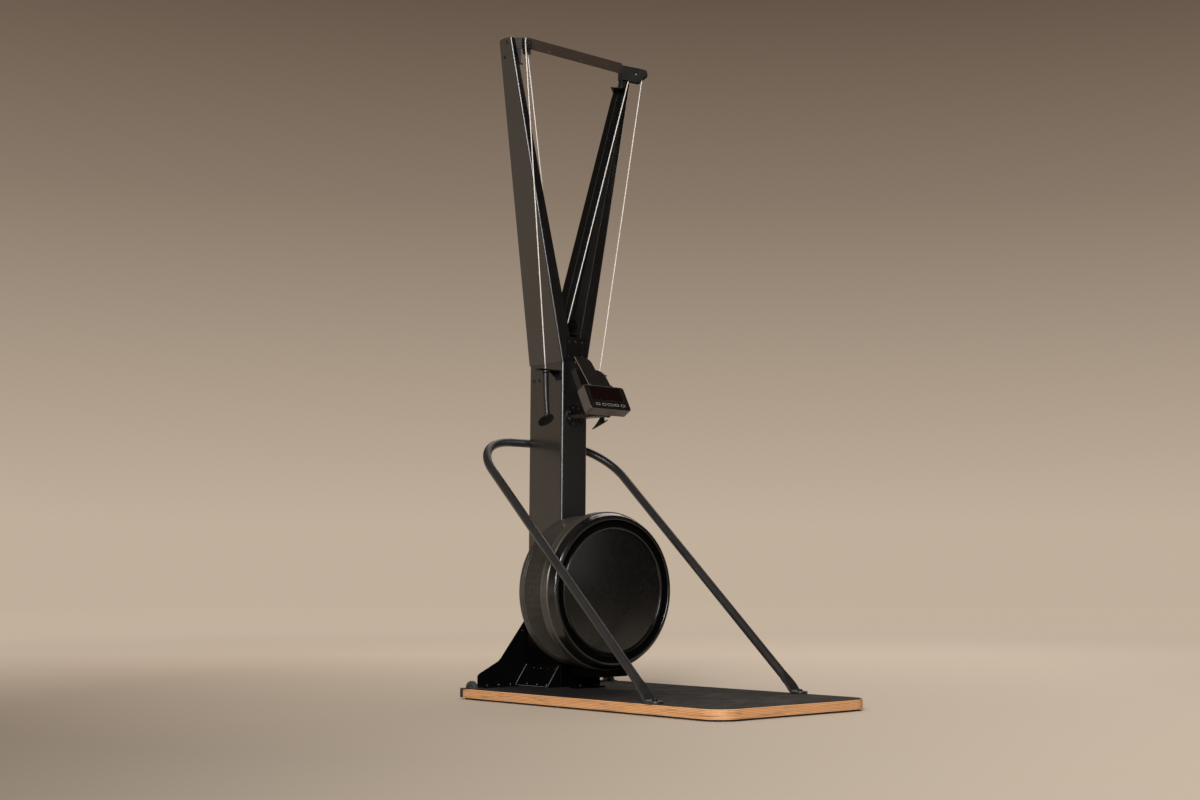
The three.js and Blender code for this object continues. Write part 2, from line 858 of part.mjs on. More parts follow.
{
  const groove = guideRopeRadius - ropeRadius - gap;
  const bore = guidePinRadius + gap;
  const wheel = turned(pulleyProfile(guideRadius, guideWidth, groove, bore), 20);
  pair('guide_pulley', wheel.translate(guideX, guideY, guideHeight), 'plastic');

  const low = guideHeight - guidePlateHalf;
  const high = guideHeight + guidePlateHalf;
  const side = (z) => armOuter(z) - armSheet - gap * 2;
  const plateFront = guideY + guideWidth * half + gap;
  const plate = prism(
    [[-side(low), low], [side(low), low], [side(high), high], [-side(high), high]],
    'y', plateFront, plateFront + guidePlateSheet,
  );
  const pins = bothSides(rod(
    'y', guideX, guideHeight, guidePinRadius, guideY - guideWidth * half - gap, plateFront + guidePlateSheet, axleSides,
  ));
  const heads = bothSides(rod(
    'y', guideX, guideHeight, axleHeadRadius, guideY - guideWidth * half - gap - axleHeadHeight,
    guideY - guideWidth * half - gap, boltSides,
  ));
  add('guide_bracket', join(plate, ...pins, ...heads), 'black');
}

// ---------------------------------------------------------------- crossbar and arm caps
{
  const t = barSheet * half;
  const line = barFront + t;
  const stop = armOuter(barBottom) - armSheet - gap - t;
  const run = (stop - barBendX) / cs;
  const bendY = line + run * sn;
  const tabEnd = armBack(barBottom) - gap;
  const offset = Math.tan(splay * half * deg) * t;
  const tabTurn = Math.tan((90 - splay) * half * deg) * t;
  const rightSide = (s) => [
    [barBendX + s * offset, line - s * t],
    [stop + s * t, bendY - s * tabTurn],
    [stop + s * t, tabEnd],
  ];
  const front = rightSide(1);
  const rear = rightSide(-1).reverse();
  const leftOf = (list) => list.map(([x, y]) => [-x, y]).reverse();
  const outline = [...front, ...rear, ...leftOf(rear), ...leftOf(front)];
  const holeZ = barBottom + barHoleRise;
  const holes = [-barHoleLeft, barHoleRight].map(
    (x) => rod('y', x, holeZ, barHoleRadius, barFront - overrun, barFront + barSheet + overrun, 10),
  );
  add('crossbar', cut(prism(outline, 'z', barBottom, barBottom + barHeight), ...holes), 'steel');

  // Cap on the spine's top, with an upright that carries the folded end of the bar.
  const z0 = spineTop + gap;
  const z1 = capTop - capSheet;
  const outer = armOuter(z1) - armSheet - gap;
  const inner = armInner(z1);
  const clear = armFront(z1) + armSheet + gap + capInset;
  const body = loft([spineRing(z0, capInset), spineRing(z1 + capSheet * half, capInset)]);
  const cap = prism([
    [outer, armBack(z1)], [inner, armBack(z1)], [capTipX, capTipY], [inner, clear],
    [outer - armBend, clear], [outer, clear + armBend],
  ], 'z', z1, capTop);
  const [ux, uy] = [barBendX + run * cs * half, line + run * sn * half];
  const h = uprightHalf;
  const upright = prism([
    [ux - h * cs + t * sn, uy - h * sn - t * cs], [ux + h * cs + t * sn, uy + h * sn - t * cs],
    [ux + h * cs - t * sn, uy + h * sn + t * cs], [ux - h * cs - t * sn, uy - h * sn + t * cs],
  ], 'z', z1, barBottom - gap);
  pair('arm_cap', join(body, cap, upright), 'black');
}

// ---------------------------------------------------------------- docks and handles
{
  const z0 = dockTop - dockSheet;
  const plate = box(mastHalf + gap, dockReach, dockFront, dockBack, z0, dockTop);
  const slot = box(
    ropeDockX - dockSlot * half, ropeDockX + dockSlot * half, dockFront - overrun, ropeDockY,
    z0 - overrun, dockTop + overrun,
  );
  const seat = rod('z', ropeDockX, ropeDockY, dockSlot * half, z0 - overrun, dockTop + overrun, 16);
  const side = box(
    mastHalf + gap, mastHalf + gap + dockSheet, dockFront, dockBack, dockTop - dockPlateDrop, dockTop,
  );
  const x0 = mastHalf + gap;
  const brace = prism([
    [x0, dockTop - dockGusset], [x0 + dockGussetReach, z0], [x0 + dockGussetReach, dockTop - dockSheet * half],
    [x0, dockTop - dockSheet * half],
  ], 'y', dockBack - dockSheet, dockBack);
  pair('dock', cut(join(plate, side, brace), slot, seat), 'black');

  // Local frame of a handle: z down its rope, y away from the side that it is bowed to.
  const top = dockTop - dockSheet - gap;
  const bottom = top - collarHeight - gripLength;
  const rings = [];
  for (let i = 0; i < gripRings; i++) {
    const s = i / (gripRings - 1);
    const r = gripTopRadius + (gripWaistRadius - gripTopRadius) * Math.min(s / gripTaperShare, 1);
    const z = top - collarHeight - gripLength * s;
    rings.unshift(circle(0, -gripBow * s * s, r, gripSides).map(([x, y]) => [x, y, z]));
  }
  const collar = rod('z', 0, 0, collarRadius, top - collarHeight - gap, top - gap, 16);
  const knotBore = rod('z', 0, 0, ropeRadius + gap, top - collarHeight, top + overrun, 10);
  const sink = collarHeight * half;
  const stem = loft([...rings, rings[rings.length - 1].map(([x, y, z]) => [x, y, z + sink])]);
  const grip = cut(join(stem, collar), knotBore);

  // Flared end: the round neck opens in a hollow curve to a sloping oval rim with a flat face.
  const flareRing = (u, lip) => {
    const slope = flareSlope * deg * u;
    const open = u ** flarePowerShare;
    const long = flareTopRadius + (flareLong - flareTopRadius) * open;
    const short = flareTopRadius + (flareShort - flareTopRadius) * open;
    const list = [];
    for (let i = 0; i < gripSides * 2; i++) {
      const t = (turn * i) / (gripSides * 2);
      const along = long * Math.sin(t);
      list.push([
        short * Math.cos(t),
        -gripBow + flareSetback * u + along * Math.cos(slope) - lip * Math.sin(slope),
        bottom - gap - flareDrop * u - along * Math.sin(slope) - lip * Math.cos(slope),
      ]);
    }
    return list;
  };
  const flares = [flareRing(full, flareLip)];
  for (let i = flareRings - 1; i >= 0; i--) flares.push(flareRing(i / (flareRings - 1), 0));
  const end = loftAny(flares);
  for (const [side, x, angle] of [
    ['right', ropeDockX, handleTurnRight], ['left', -ropeDockX, handleTurnLeft],
  ]) {
    const seat = (g) => g.clone().rotateZ(angle * deg).translate(x, ropeDockY, 0);
    add(`handle_grip_${side}`, seat(grip), 'plastic');
    add(`handle_end_${side}`, seat(end), 'gloss');
  }
}

// ---------------------------------------------------------------- drum
const bore = shaftRadius + gap;
{
  const w = drumWall;
  // Neck between the mast and the drum, which also bears the shaft.
  add('drum_hub', turned([
    [bore, gap], [hubRadius, gap], [hubRadius, gap + w], [hubNeck, gap + w * 2],
    [hubNeck, drumBack - gap], [bore, drumBack - gap],
  ], 28), 'black');

  add('drum_housing', turned([
    [bore, drumBack], [housingRadius - w * 2, drumBack], [housingRadius, drumBack + w * 2],
    [housingRadius, housingFront], [housingRadius - w, housingFront],
    [housingRadius - w, drumBack + w * 2], [housingRadius - w * 3, drumBack + w], [bore, drumBack + w],
  ], drumSegments), 'plastic');

  const start = housingFront + gap;
  const band = turned([
    [bandRadius - w, start], [bandRadius, start], [bandRadius, bandFront], [bandRadius - w, bandFront],
  ], drumSegments);
  const vents = [];
  const middle = (start + bandFront) * half;
  for (let i = 0; i < ventCount; i++) {
    const width = (turn * bandRadius * ventShare) / ventCount;
    const slot = box(
      -width * half, width * half, -middle - ventLength * half, -middle + ventLength * half,
      bandRadius - w * 3, bandRadius + w * 2,
    );
    vents.push(slot.rotateY((turn * (i + half)) / ventCount));
  }
  add('vent_band', cut(band, ...vents), 'plastic');

  const ringStart = bandFront + gap;
  add('front_ring', turned([
    [bandRadius - w, ringStart], [ringRadius - w, ringStart], [ringRadius, ringStart + w],
    [ringRadius, ringFront - w], [ringRadius - w, ringFront], [bandRadius - w, ringFront],
  ], drumSegments), 'plastic');

  const coverStart = ringFront + gap;
  const lip = discRadius + gap;
  add('front_cover', turned([
    [lip - w, coverStart], [ringRadius - w * 2, coverStart],
    [ringRadius - w * 3, coverStart + w * 2], [rimRadius + w, coverFront - w], [rimRadius, coverFront],
    [rimInner, coverFront], [rimInner - w * half, grooveFront], [lip + w, grooveFront], [lip, grooveFront],
    [lip, grooveFront - w], [lip - w, grooveFront - w],
  ], drumSegments), 'gloss');

  const discBack = grooveFront - w + gap;
  const inner = [frontBearingRadius, discFront - discDish - w];
  add('front_disc', turned([
    [0, discFront - discDish], [discRadius * half, discFront - discDish * discMiddleShare],
    [discRadius - w * 3, discFront - w * discLipShare], [discRadius - w, discFront], [discRadius, discFront - w],
    [discRadius, discBack], [discRadius - w * 3, discBack],
    [discRadius * half, discFront - discDish * discMiddleShare - w],
    inner, [frontBearingRadius, discFront - discDish - w - frontBearingDepth],
    [bore, discFront - discDish - w - frontBearingDepth], [bore, discFront - discDish - w],
    [0, discFront - discDish - w],
  ], drumSegments), 'plastic');
}

// Fan rotor, its shaft running back through the mast
{
  const back = rotorBack;
  const disc = turned([[0, back], [rotorRadius, back], [rotorRadius, back + rotorSheet], [0, back + rotorSheet]], 40);
  const hub = turned([[0, back], [rotorHub, back], [rotorHub, back + rotorHubLength], [0, back + rotorHubLength]], 24);
  const shaftEnd = discFront - discDish - drumWall - gap;
  const shaft = rod('y', 0, 0, shaftRadius, -shaftEnd, mastDepth - mastWall * half, 24);
  const blades = [];
  for (let i = 0; i < bladeCount; i++) {
    const blade = box(
      -bladeSheet * half, bladeSheet * half, -back - bladeDepth, -back - rotorSheet * half, bladeInner, rotorRadius,
    );
    blades.push(blade.rotateY((turn * i) / bladeCount));
  }
  const rotor = join(disc, hub, shaft, ...blades);
  add('fan_rotor', rotor.translate(0, 0, shaftHeight), 'bright');

  const profile = (y) => {
    const [a, b] = [-y - spoolWidth * half, -y + spoolWidth * half];
    return [
      [bore, a], [spoolFlange, a], [spoolFlange, a + spoolFlangeSheet], [spoolCore, a + spoolFlangeSheet],
      [spoolCore, b - spoolFlangeSheet], [spoolFlange, b - spoolFlangeSheet], [spoolFlange, b], [bore, b],
    ];
  };
  add('spool_left', turned(profile(spoolLeftY), 20).translate(0, 0, shaftHeight), 'plastic');
  add('spool_right', turned(profile(spoolRightY), 20).translate(0, 0, shaftHeight), 'plastic');
}
for (const name of ['drum_hub', 'drum_housing', 'vent_band', 'front_ring', 'front_cover', 'front_disc']) {
  model.getObjectByName(name).position.z = shaftHeight;
}

// Cradle under the drum
{
  const block = box(-cradleHalf, cradleHalf, -cradleFront, -cradleBack, cradleBottom, shaftHeight - ringRadius * half);
  const round = rod('y', 0, shaftHeight, ringRadius + gap, -coverFront - overrun, -gap, drumSegments);
  const leg = box(-cradleHalf, cradleHalf, -cradleBack - cradleLegSheet, -cradleBack, deck, cradleBottom + cradleLegSheet);
  const foot = box(
    -cradleHalf, cradleHalf, -cradleBack - cradleFoot, -cradleBack, deck, deck + cradleFootSheet,
  );
  const bolts = bothSides(bolt('z', cradleHalf * half, -cradleBack - cradleFoot * half, deck, deck + cradleFootSheet + boltHeight));
  add('drum_cradle', cut(join(block, leg, foot, ...bolts), round), 'black');
}

// ---------------------------------------------------------------- base brackets
{
  const z = (rise) => deck + rise;
  const right = [
    [gussetHalf, deck], [gussetHalf, z(gussetEdgeRise)],
    [gussetHalf * gussetLowShare, z(gussetLowRise)], [gussetHalf * gussetKneeShare, z(gussetKneeRise)],
    [gussetHalf * gussetNeckShare, z(gussetNeckRise)], [gussetHalf * gussetHighShare, z(gussetHighRise)],
    [gussetHalf * gussetTopShare, z(gussetTopRise)],
  ];
  const left = right.map(([x, h]) => [-x, h]).reverse();
  const plate = prism([...right, ...left], 'y', gussetY, gussetY + gussetSheet);
  const flange = bothSides(box(
    gussetHalf * gussetFlangeShare, gussetHalf, gussetY - gussetFlange, gussetY + gussetSheet, deck, deck + gussetSheet,
  ));
  const heads = [];
  for (const share of gussetBoltShares) {
    heads.push(...bothSides(bolt('z', gussetHalf * share, gussetY - gussetFlange * half, deck, deck + gussetSheet + boltHeight)));
  }
  heads.push(...bothSides(smallBolt(
    'y', gussetHalf * gussetHoleShare, z(gussetHoleRise), gussetY - smallBoltHeight, gussetY + gussetSheet,
  )));
  for (const x of [-mastFixHalf, mastFixHalf]) {
    heads.push(bolt('y', x, z(mastFixRise), gussetY, gussetY + gussetSheet + boltHeight));
  }
  add('rear_gusset', join(plate, ...flange, ...heads), 'black');
}
{
  const x0 = mastHalf + gap;
  const x1 = x0 + sideFlange;
  const [y0, y1] = [-sideFrontReach, mastDepth - sideBackMargin];
  const upright = box(x0, x0 + sideSheet, y0, y1, deck, deck + sideHeight);
  const flange = box(x0, x1, y0, y1, deck, deck + sideSheet);
  const rib = [[x0, deck], [x1, deck], [x1, deck + sideSheet], [x0 + ribTopWidth, deck + sideHeight], [x0, deck + sideHeight]];
  const ribs = [prism(rib, 'y', y0, y0 + ribSheet), prism(rib, 'y', y1 - ribSheet, y1)];
  const heads = [];
  for (let i = 0; i < sideBoltCount; i++) {
    const y = sideBoltFirst + i * sideBoltPitch;
    heads.push(smallBolt('x', y, deck + sideBoltRise, x0, x0 + sideSheet + smallBoltHeight));
  }
  for (let i = 0; i < flangeBoltCount; i++) {
    const y = flangeBoltFirst + i * flangeBoltPitch;
    heads.push(bolt('z', x0 + (sideFlange + sideSheet) * half, y, deck, deck + sideSheet + boltHeight));
  }
  pair('mast_bracket', join(upright, flange, ...ribs, ...heads), 'black');
}

// ---------------------------------------------------------------- brace
{
  const corner = new THREE.Vector3(braceHalf, braceCornerY, braceCornerZ);
  const foot = new THREE.Vector3(braceFootX, -braceFootY, deck + braceFootRise);
  const down = foot.clone().sub(corner).normalize();
  const inward = new THREE.Vector3(-1, 0, 0);
  const angle = inward.angleTo(down);
  const tangent = braceBendRadius / Math.tan(angle * half);
  const a = corner.clone().addScaledVector(inward, tangent);
  const b = corner.clone().addScaledVector(down, tangent);
  const toCentre = inward.clone().add(down).normalize();
  const centre = corner.clone().addScaledVector(toCentre, braceBendRadius / Math.sin(angle * half));
  const bend = arc(centre, a.clone().sub(centre).normalize(), b.clone().sub(centre).normalize(),
    braceBendRadius, braceBendSteps);
  const neck = foot.clone().addScaledVector(down, -braceFootLength);
  const right = [...bend, neck];
  const left = right.map((p) => new THREE.Vector3(-p.x, p.y, p.z)).reverse();
  const hoop = tube([...left, ...right], braceRadius, braceSides);

  // Flattened foot: the tube's end pressed to a strap that bends flat onto the platform.
  const side = new THREE.Vector3(0, 0, 1).cross(down).normalize();
  const up = down.clone().cross(side).normalize();
  const ringAt = (p, across, thick, upDir, round) => {
    const list = [];
    for (let i = 0; i < footSides; i++) {
      const t = (turn * (i + half)) / footSides;
      let [c, s] = [Math.cos(t), Math.sin(t)];
      if (!round) {
        c = Math.sign(c) * Math.min(Math.abs(c) * Math.SQRT2, full);
        s = Math.sign(s) * Math.min(Math.abs(s) * Math.SQRT2, full);
      }
      list.push(p.clone().addScaledVector(side, across * c).addScaledVector(upDir, thick * s).toArray());
    }
    return list;
  };
  const flat = new THREE.Vector3(0, 0, 1);
  const mid = up.clone().add(flat).normalize();
  const strapZ = deck + footSheet * half;
  const ahead = new THREE.Vector3(down.x, down.y, 0).normalize();
  const knee = foot.clone();
  knee.z = strapZ;
  const start = neck.clone().addScaledVector(down, -overrun);
  const press = neck.clone().addScaledVector(down, braceFootLength * footPressShare);
  const rings = [
    ringAt(start, braceRadius - gap, braceRadius - gap, up, true),
    ringAt(press, footWidth * half, footSheet * footThinShare, up, false),
    ringAt(knee, footWidth * half, footSheet * half, mid, false),
    ringAt(knee.clone().addScaledVector(ahead, footReach), footWidth * half, footSheet * half, flat, false),
  ];
  const floor = box(0, boardHalf, -boardFrontReach, boardRear, deck - overrun * overrun, deck);
  const head = knee.clone().addScaledVector(ahead, footBoltSetback);
  const stud = rod('z', head.x, head.y, boltRadius, deck + footSheet * half, deck + footSheet + boltHeight, boltSides);
  const feet = bothSides(cut(join(loftAny(rings), stud), floor));
  add('brace_tube', join(hoop, ...feet), 'steel');

  // Clamp that holds the hoop to the back of the mast.
  const y0 = mastDepth + gap;
  const block = box(-clampHalf, clampHalf, y0, braceCornerY, braceCornerZ - clampWidth * half, braceCornerZ + clampWidth * half);
  const bore2 = rod('x', braceCornerY, braceCornerZ, braceRadius + gap, -clampHalf - overrun, clampHalf + overrun, 24);
  const flange = box(
    -clampHalf, clampHalf, y0, y0 + clampSheet,
    braceCornerZ - clampPlateHeight * half, braceCornerZ + clampPlateHeight * half,
  );
  const screws = [-1, 1].flatMap((end) => bothSides(smallBolt(
    'y', clampHalf * clampScrewShare * half, braceCornerZ + clampScrewRise * end, y0, y0 + clampSheet + smallBoltHeight,
  )));
  add('brace_clamp', cut(join(block, flange, ...screws), bore2), 'black');
}

// A closed skin through convex rings in any planes, capped by fans.
function loftAny(rings) {
  const n = rings[0].length;
  const faces = [];
  for (let r = 0; r < rings.length - 1; r++) {
    for (let i = 0; i < n; i++) {
      const j = (i + 1) % n;
      const [a, b, c, d] = [r * n + i, r * n + j, (r + 1) * n + j, (r + 1) * n + i];
      faces.push(a, b, c, a, c, d);
    }
  }
  const last = (rings.length - 1) * n;
  for (let i = 1; i < n - 1; i++) faces.push(0, i + 1, i, last, last + i, last + i + 1);
  const g = new THREE.BufferGeometry();
  g.setAttribute('position', new THREE.Float32BufferAttribute(rings.flat(2), 3));
  g.setIndex(faces);
  return g;
}

// ---------------------------------------------------------------- console
const face = new THREE.Group();
face.position.set(0, -caseFaceY, caseFaceZ);
face.rotation.x = -caseTilt * deg;
model.add(face);
const pinY = caseDepth + pinBack;
{
  // Local frame: x across, y back through the case, z up the face.
  const rimRing = (sink, y) => roundedRect(
    -caseX + sink, caseX - sink, sink, caseHeight - sink,
    [caseCorner, caseCorner, caseCorner, caseCorner], bendSteps,
  ).map(([x, z]) => [x, y, z]);
  const rim = caseEdge * rimShare;
  const shell = loftAny([
    rimRing(caseEdge, 0), rimRing(rim, rim), rimRing(0, caseEdge), rimRing(0, caseDepth - caseEdge),
    rimRing(rim, caseDepth - rim), rimRing(caseEdge, caseDepth),
  ]);
  const screenPocket = box(
    -screenHalf - gap, screenHalf + gap, -overrun, screenDepth + gap, screenBottom - gap, screenTop + gap,
  );
  const keyAt = [-2, -1, 0, 1, 2].map((i) => [i * keyPitch, i === 0 ? keyCentreHalf : keyHalf]);
  const pockets = keyAt.map(([x, h]) => box(
    x - h - gap, x + h + gap, -overrun, keyPocket, keyBottom - gap, keyBottom + keyHeight + gap,
  ));
  const knobPocketTool = rod('z', knobX, knobBack, knobRadius + gap, caseHeight - knobPocket, caseHeight + overrun, 16);
  const lug = (x0, x1) => join(
    box(x0, x1, caseDepth - caseEdge, pinY, pinRise - lugRadius, pinRise + lugRadius),
    rod('x', pinY, pinRise, lugRadius, x0, x1, 16),
  );
  const pinBore = rod('x', pinY, pinRise, pinRadius + gap, -caseX, caseX, 16);
  const lugs = [lug(lugInner, lugInner + lugSheet), lug(-lugInner - lugSheet, -lugInner)];
  add('console_case', cut(
    join(cut(shell, screenPocket, ...pockets, knobPocketTool), ...lugs), pinBore,
  ), 'plastic', face);
  add('console_screen', box(
    -screenHalf, screenHalf, gap, screenDepth, screenBottom, screenTop,
  ), 'gloss', face);
  const names = ['far_left', 'left', 'centre', 'right', 'far_right'];
  keyAt.forEach(([x, h], i) => add(`key_${names[i]}`, box(
    x - h, x + h, -keyProud, keyBody, keyBottom, keyBottom + keyHeight,
  ), 'rubber', face));
  add('top_button', rod(
    'z', knobX, knobBack, knobRadius, caseHeight - knobPocket + knobHeight * half, caseHeight + knobHeight * half, 16,
  ), 'rubber', face);

  const back = caseDepth + gap;
  const plate = prism(roundedRect(
    -backPlateLeft, backPlateRight, backPlateBottom, backPlateTop,
    [0, caseCorner, caseCorner, 0], bendSteps,
  ), 'y', back, back + backPlateSheet);
  const shelf = box(
    -backPlateLeft, backPlateRight, restBack, back + backPlateSheet,
    caseHeight + gap, caseHeight + gap + restFootSheet,
  );
  const lip = box(
    -backPlateLeft, -backPlateLeft + backPlateSheet, back - backPlateLip, back + backPlateSheet,
    caseHeight + gap, backPlateTop - caseCorner,
  );
  add('back_plate', join(plate, shelf, lip), 'plastic', face);

  // Phone rest: a plate that leans further back than the case, seated on the shelf.
  const rest = new THREE.Group();
  rest.position.set(0, restBack, caseHeight + gap * 2 + restFootSheet + restLift);
  rest.rotation.x = -(restTilt - caseTilt) * deg;
  face.add(rest);
  add('phone_rest', join(
    prism(roundedRect(-restLeft, restRight, 0, restHeight, [0, restCorner, 0, 0], bendSteps), 'y', 0, restSheet),
    box(-restLeft, restRight, -restFootSheet * 2, restSheet, 0, restFootSheet),
  ), 'plastic', rest);
  add('phone_clamp', join(
    prism(roundedRect(
      clampLeft, clampRight, 0, clampHeight, [0, clampCorner, 0, 0], bendSteps,
    ), 'y', 0, clampSlideSheet),
    box(clampLeft, clampRight, -restFootSheet * 2, clampSlideSheet, 0, restFootSheet),
    box(
      clampLeft - clampCorner, clampLeft + clampCorner, clampSlideSheet + gap, clampSlideSheet + gap + restSheet,
      restFootSheet, clampHeight * half,
    ),
    box(
      clampLeft + gap, clampLeft + clampCorner, clampSlideSheet * half, clampSlideSheet + gap + restSheet,
      restFootSheet, clampHeight * half,
    ),
  ), 'plastic', rest);
}

// Console arm: a round flange bolted to the mast, an arm and the barrel that the case tilts on
{
  const t = caseTilt * deg;
  const py = -caseFaceY + pinY * Math.cos(t) + pinRise * Math.sin(t);
  const pz = caseFaceZ - pinY * Math.sin(t) + pinRise * Math.cos(t);
  const flange = rod('y', 0, consoleFlangeZ, consoleFlangeRadius, -gap - consoleFlangeSheet, -gap, 24);
  const heads = [];
  for (let i = 0; i < consoleBoltCount; i++) {
    const a = (turn * (i + half)) / consoleBoltCount;
    heads.push(smallBolt(
      'y', consoleBoltCircle * Math.cos(a), consoleFlangeZ + consoleBoltCircle * Math.sin(a),
      -gap - consoleFlangeSheet - smallBoltHeight, -gap,
    ));
  }
  const arm = prism([
    [-gap, pz - consoleArmBottom], [-gap, pz + consoleArmTop], [py, pz + consoleArmTop * half],
    [py, pz - consoleArmBottom],
  ], 'x', -consoleArmHalf, consoleArmHalf);
  const barrel = rod('x', py, pz, barrelRadius, -consoleArmHalf, consoleArmHalf, 20);
  const pinEnd = lugInner + lugSheet + gap;
  const pin = rod('x', py, pz, pinRadius, -pinEnd, pinEnd, 16);
  const caps = bothSides(rod('x', py, pz, pinRadius * 2, pinEnd, pinEnd + axleHeadHeight, boltSides));
  add('console_arm', join(flange, ...heads, arm, barrel, pin, ...caps), 'black');
}

export default model;
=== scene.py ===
from math import atan2, cos, pi, radians, sin, tan

import bmesh
import bpy
import numpy as np
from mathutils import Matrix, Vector


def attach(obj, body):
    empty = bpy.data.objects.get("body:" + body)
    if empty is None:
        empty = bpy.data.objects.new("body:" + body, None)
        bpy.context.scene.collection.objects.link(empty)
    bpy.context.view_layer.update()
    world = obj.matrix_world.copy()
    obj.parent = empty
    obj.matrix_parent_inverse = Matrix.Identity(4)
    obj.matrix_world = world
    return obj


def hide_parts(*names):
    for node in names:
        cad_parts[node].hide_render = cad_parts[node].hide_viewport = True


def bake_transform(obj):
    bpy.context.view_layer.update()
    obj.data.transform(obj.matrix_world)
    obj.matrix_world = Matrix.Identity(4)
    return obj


bl_info = {
    "name": "Ski trainer machine",
    "version": (1, 0, 0),
    "blender": (4, 5, 0),
    "location": "View3D > Sidebar > Ski trainer",
    "description": "Dresses a ski trainer machine: platform, mast and arms, drum, ropes, handles and console",
    "category": "Object",
}

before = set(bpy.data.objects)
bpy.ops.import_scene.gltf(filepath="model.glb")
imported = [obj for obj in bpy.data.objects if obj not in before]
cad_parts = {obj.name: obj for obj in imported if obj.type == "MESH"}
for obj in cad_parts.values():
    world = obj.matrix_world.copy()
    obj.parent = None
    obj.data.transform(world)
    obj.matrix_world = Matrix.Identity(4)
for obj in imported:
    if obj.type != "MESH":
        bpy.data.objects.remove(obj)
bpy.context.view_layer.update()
MM = 0.001
SIDES = (("right", 1.0), ("left", -1.0))

# Places and sizes shared by several pieces, in metres
BOARD_LOW, BOARD_TOP, DECK = 0.006, 0.0338, 0.0353
BOARD_HALF, BOARD_FRONT, BOARD_REAR = 0.310, -1.016, 0.183
BOARD_CORNER, MAT_INSET = 0.070, 0.005
WHEEL_AT, WHEEL_SLOT = np.array((0.284, 0.1597, 0.0325)), 0.0126
MAST_HALF, MAST_DEPTH, MAST_TOP = 0.0531, 0.178, 1.092
ARM_FOOT, ARM_TIP, SPINE_TOP = 1.0923, 2.143, 2.053
ARM_LINES = ((MAST_HALF, 0.2615), (0.0006, 0.2446), (0.0, 0.0223), (MAST_DEPTH, 0.083))
SPINE_FRONT = (0.132, 0.0588)
SHEET = 0.003
SHAFT_Z = 0.3454
SPLAY = radians(43.6)
PULLEY_AT = np.array((0.235, -0.028, 2.108))
ROPE_BEND, ROPE_RADIUS, ROPE_SIDES = 0.02175, 0.00175, 12
SPOOL_ROPE, SPOOL_Y = 0.02175, {"right": 0.095, "left": 0.045}
GUIDE_AT, GUIDE_BEND = np.array((0.0393, 0.0702, 1.2299)), 0.01755
DOCK_ROPE = np.array((0.1125, 0.0132, 1.0597))
TILT, FACE_AT = radians(29), np.array((0.0, -0.190, 0.925))
RIB_FOOT, RIB_HEAD, RIB_SHEET, RIB_ENDS = 0.1034, 0.0584, 0.004, (-0.002, 0.172)
REST_LEFT, DARK_BROWN = -0.046, (0.0034, 0.0018, 0.0013)
TUBE_RADIUS, TUBE_BEND = 0.0138, 0.163
CORNER, FOOT = np.array((0.2715, 0.197, 0.835)), np.array((0.294, -0.711, 0.0513))
STRAP_HALF, STRAP_THICK = 0.022, 0.004


# ---------------------------------------------------------------- surfaces
def mm(values):
    """Millimetres as metres."""
    return np.asarray(values, float) * MM


def unit(vectors):
    """One vector, or each row of a table, at length one."""
    vectors = np.asarray(vectors, float)
    return vectors / np.linalg.norm(vectors, axis=-1, keepdims=True)


class Skin:
    """A closed surface: points, four-sided faces, and end faces of any number of sides."""

    def __init__(self, points, quads, ends=()):
        self.points = np.asarray(points, float)
        self.quads = np.asarray(quads, int).reshape(-1, 4)
        self.ends = [np.asarray(e, int) for e in ends]

    def facing_out(self):
        """Turns the faces over when the volume that they enclose comes out negative."""
        fans = [self.quads[:, [0, 1, 2]], self.quads[:, [0, 2, 3]]]
        fans += [np.stack([np.full(len(e) - 2, e[0]), e[1:-1], e[2:]], 1) for e in self.ends]
        t = self.points[np.vstack(fans)] - self.points.mean(0)
        if np.einsum("ij,ij->i", t[:, 0], np.cross(t[:, 1], t[:, 2])).sum() < 0:
            self.quads = self.quads[:, ::-1]
            self.ends = [e[::-1] for e in self.ends]
        return self

    def moved(self, matrix):
        """The same surface in another place; a mirroring matrix turns the faces back out."""
        points = self.points @ matrix[:3, :3].T + matrix[:3, 3]
        return Skin(points, self.quads, self.ends).facing_out()

    def __add__(self, other):
        n = len(self.points)
        return Skin(
            np.vstack([self.points, other.points]),
            np.vstack([self.quads, other.quads + n]),
            self.ends + [e + n for e in other.ends],
        )


def together(skins):
    """Several closed surfaces as one."""
    skins = list(skins)
    total = skins[0]
    for s in skins[1:]:
        total = total + s
    return total


def mirrored(skin):
    """The surface on the other side of the machine: x becomes -x."""
    return skin.moved(np.diag((-1.0, 1.0, 1.0, 1.0)))


def sided(skin, side):
    """A surface drawn for the right, on the side that is asked for."""
    return skin if side > 0 else mirrored(skin)


def placed(x, y, z, origin=(0, 0, 0)):
    """A matrix that takes local x, y, z to these three directions, from origin."""
    m = np.eye(4)
    m[:3, 0], m[:3, 1], m[:3, 2], m[:3, 3] = x, y, z, origin
    return m


ALONG_X = placed((0, 1, 0), (0, 0, 1), (1, 0, 0))
ALONG_Y = placed((1, 0, 0), (0, 0, 1), (0, -1, 0))
DRUM = placed((1, 0, 0), (0, 0, 1), (0, -1, 0), (0, 0, SHAFT_Z))
CONSOLE = placed((1, 0, 0), (0, cos(TILT), -sin(TILT)), (0, sin(TILT), cos(TILT)), FACE_AT)
PULLEY = placed((cos(SPLAY), sin(SPLAY), 0), (-sin(SPLAY), cos(SPLAY), 0), (0, 0, 1), PULLEY_AT)


def at(matrix, origin):
    """The same directions, from another origin."""
    m = matrix.copy()
    m[:3, 3] = origin
    return m


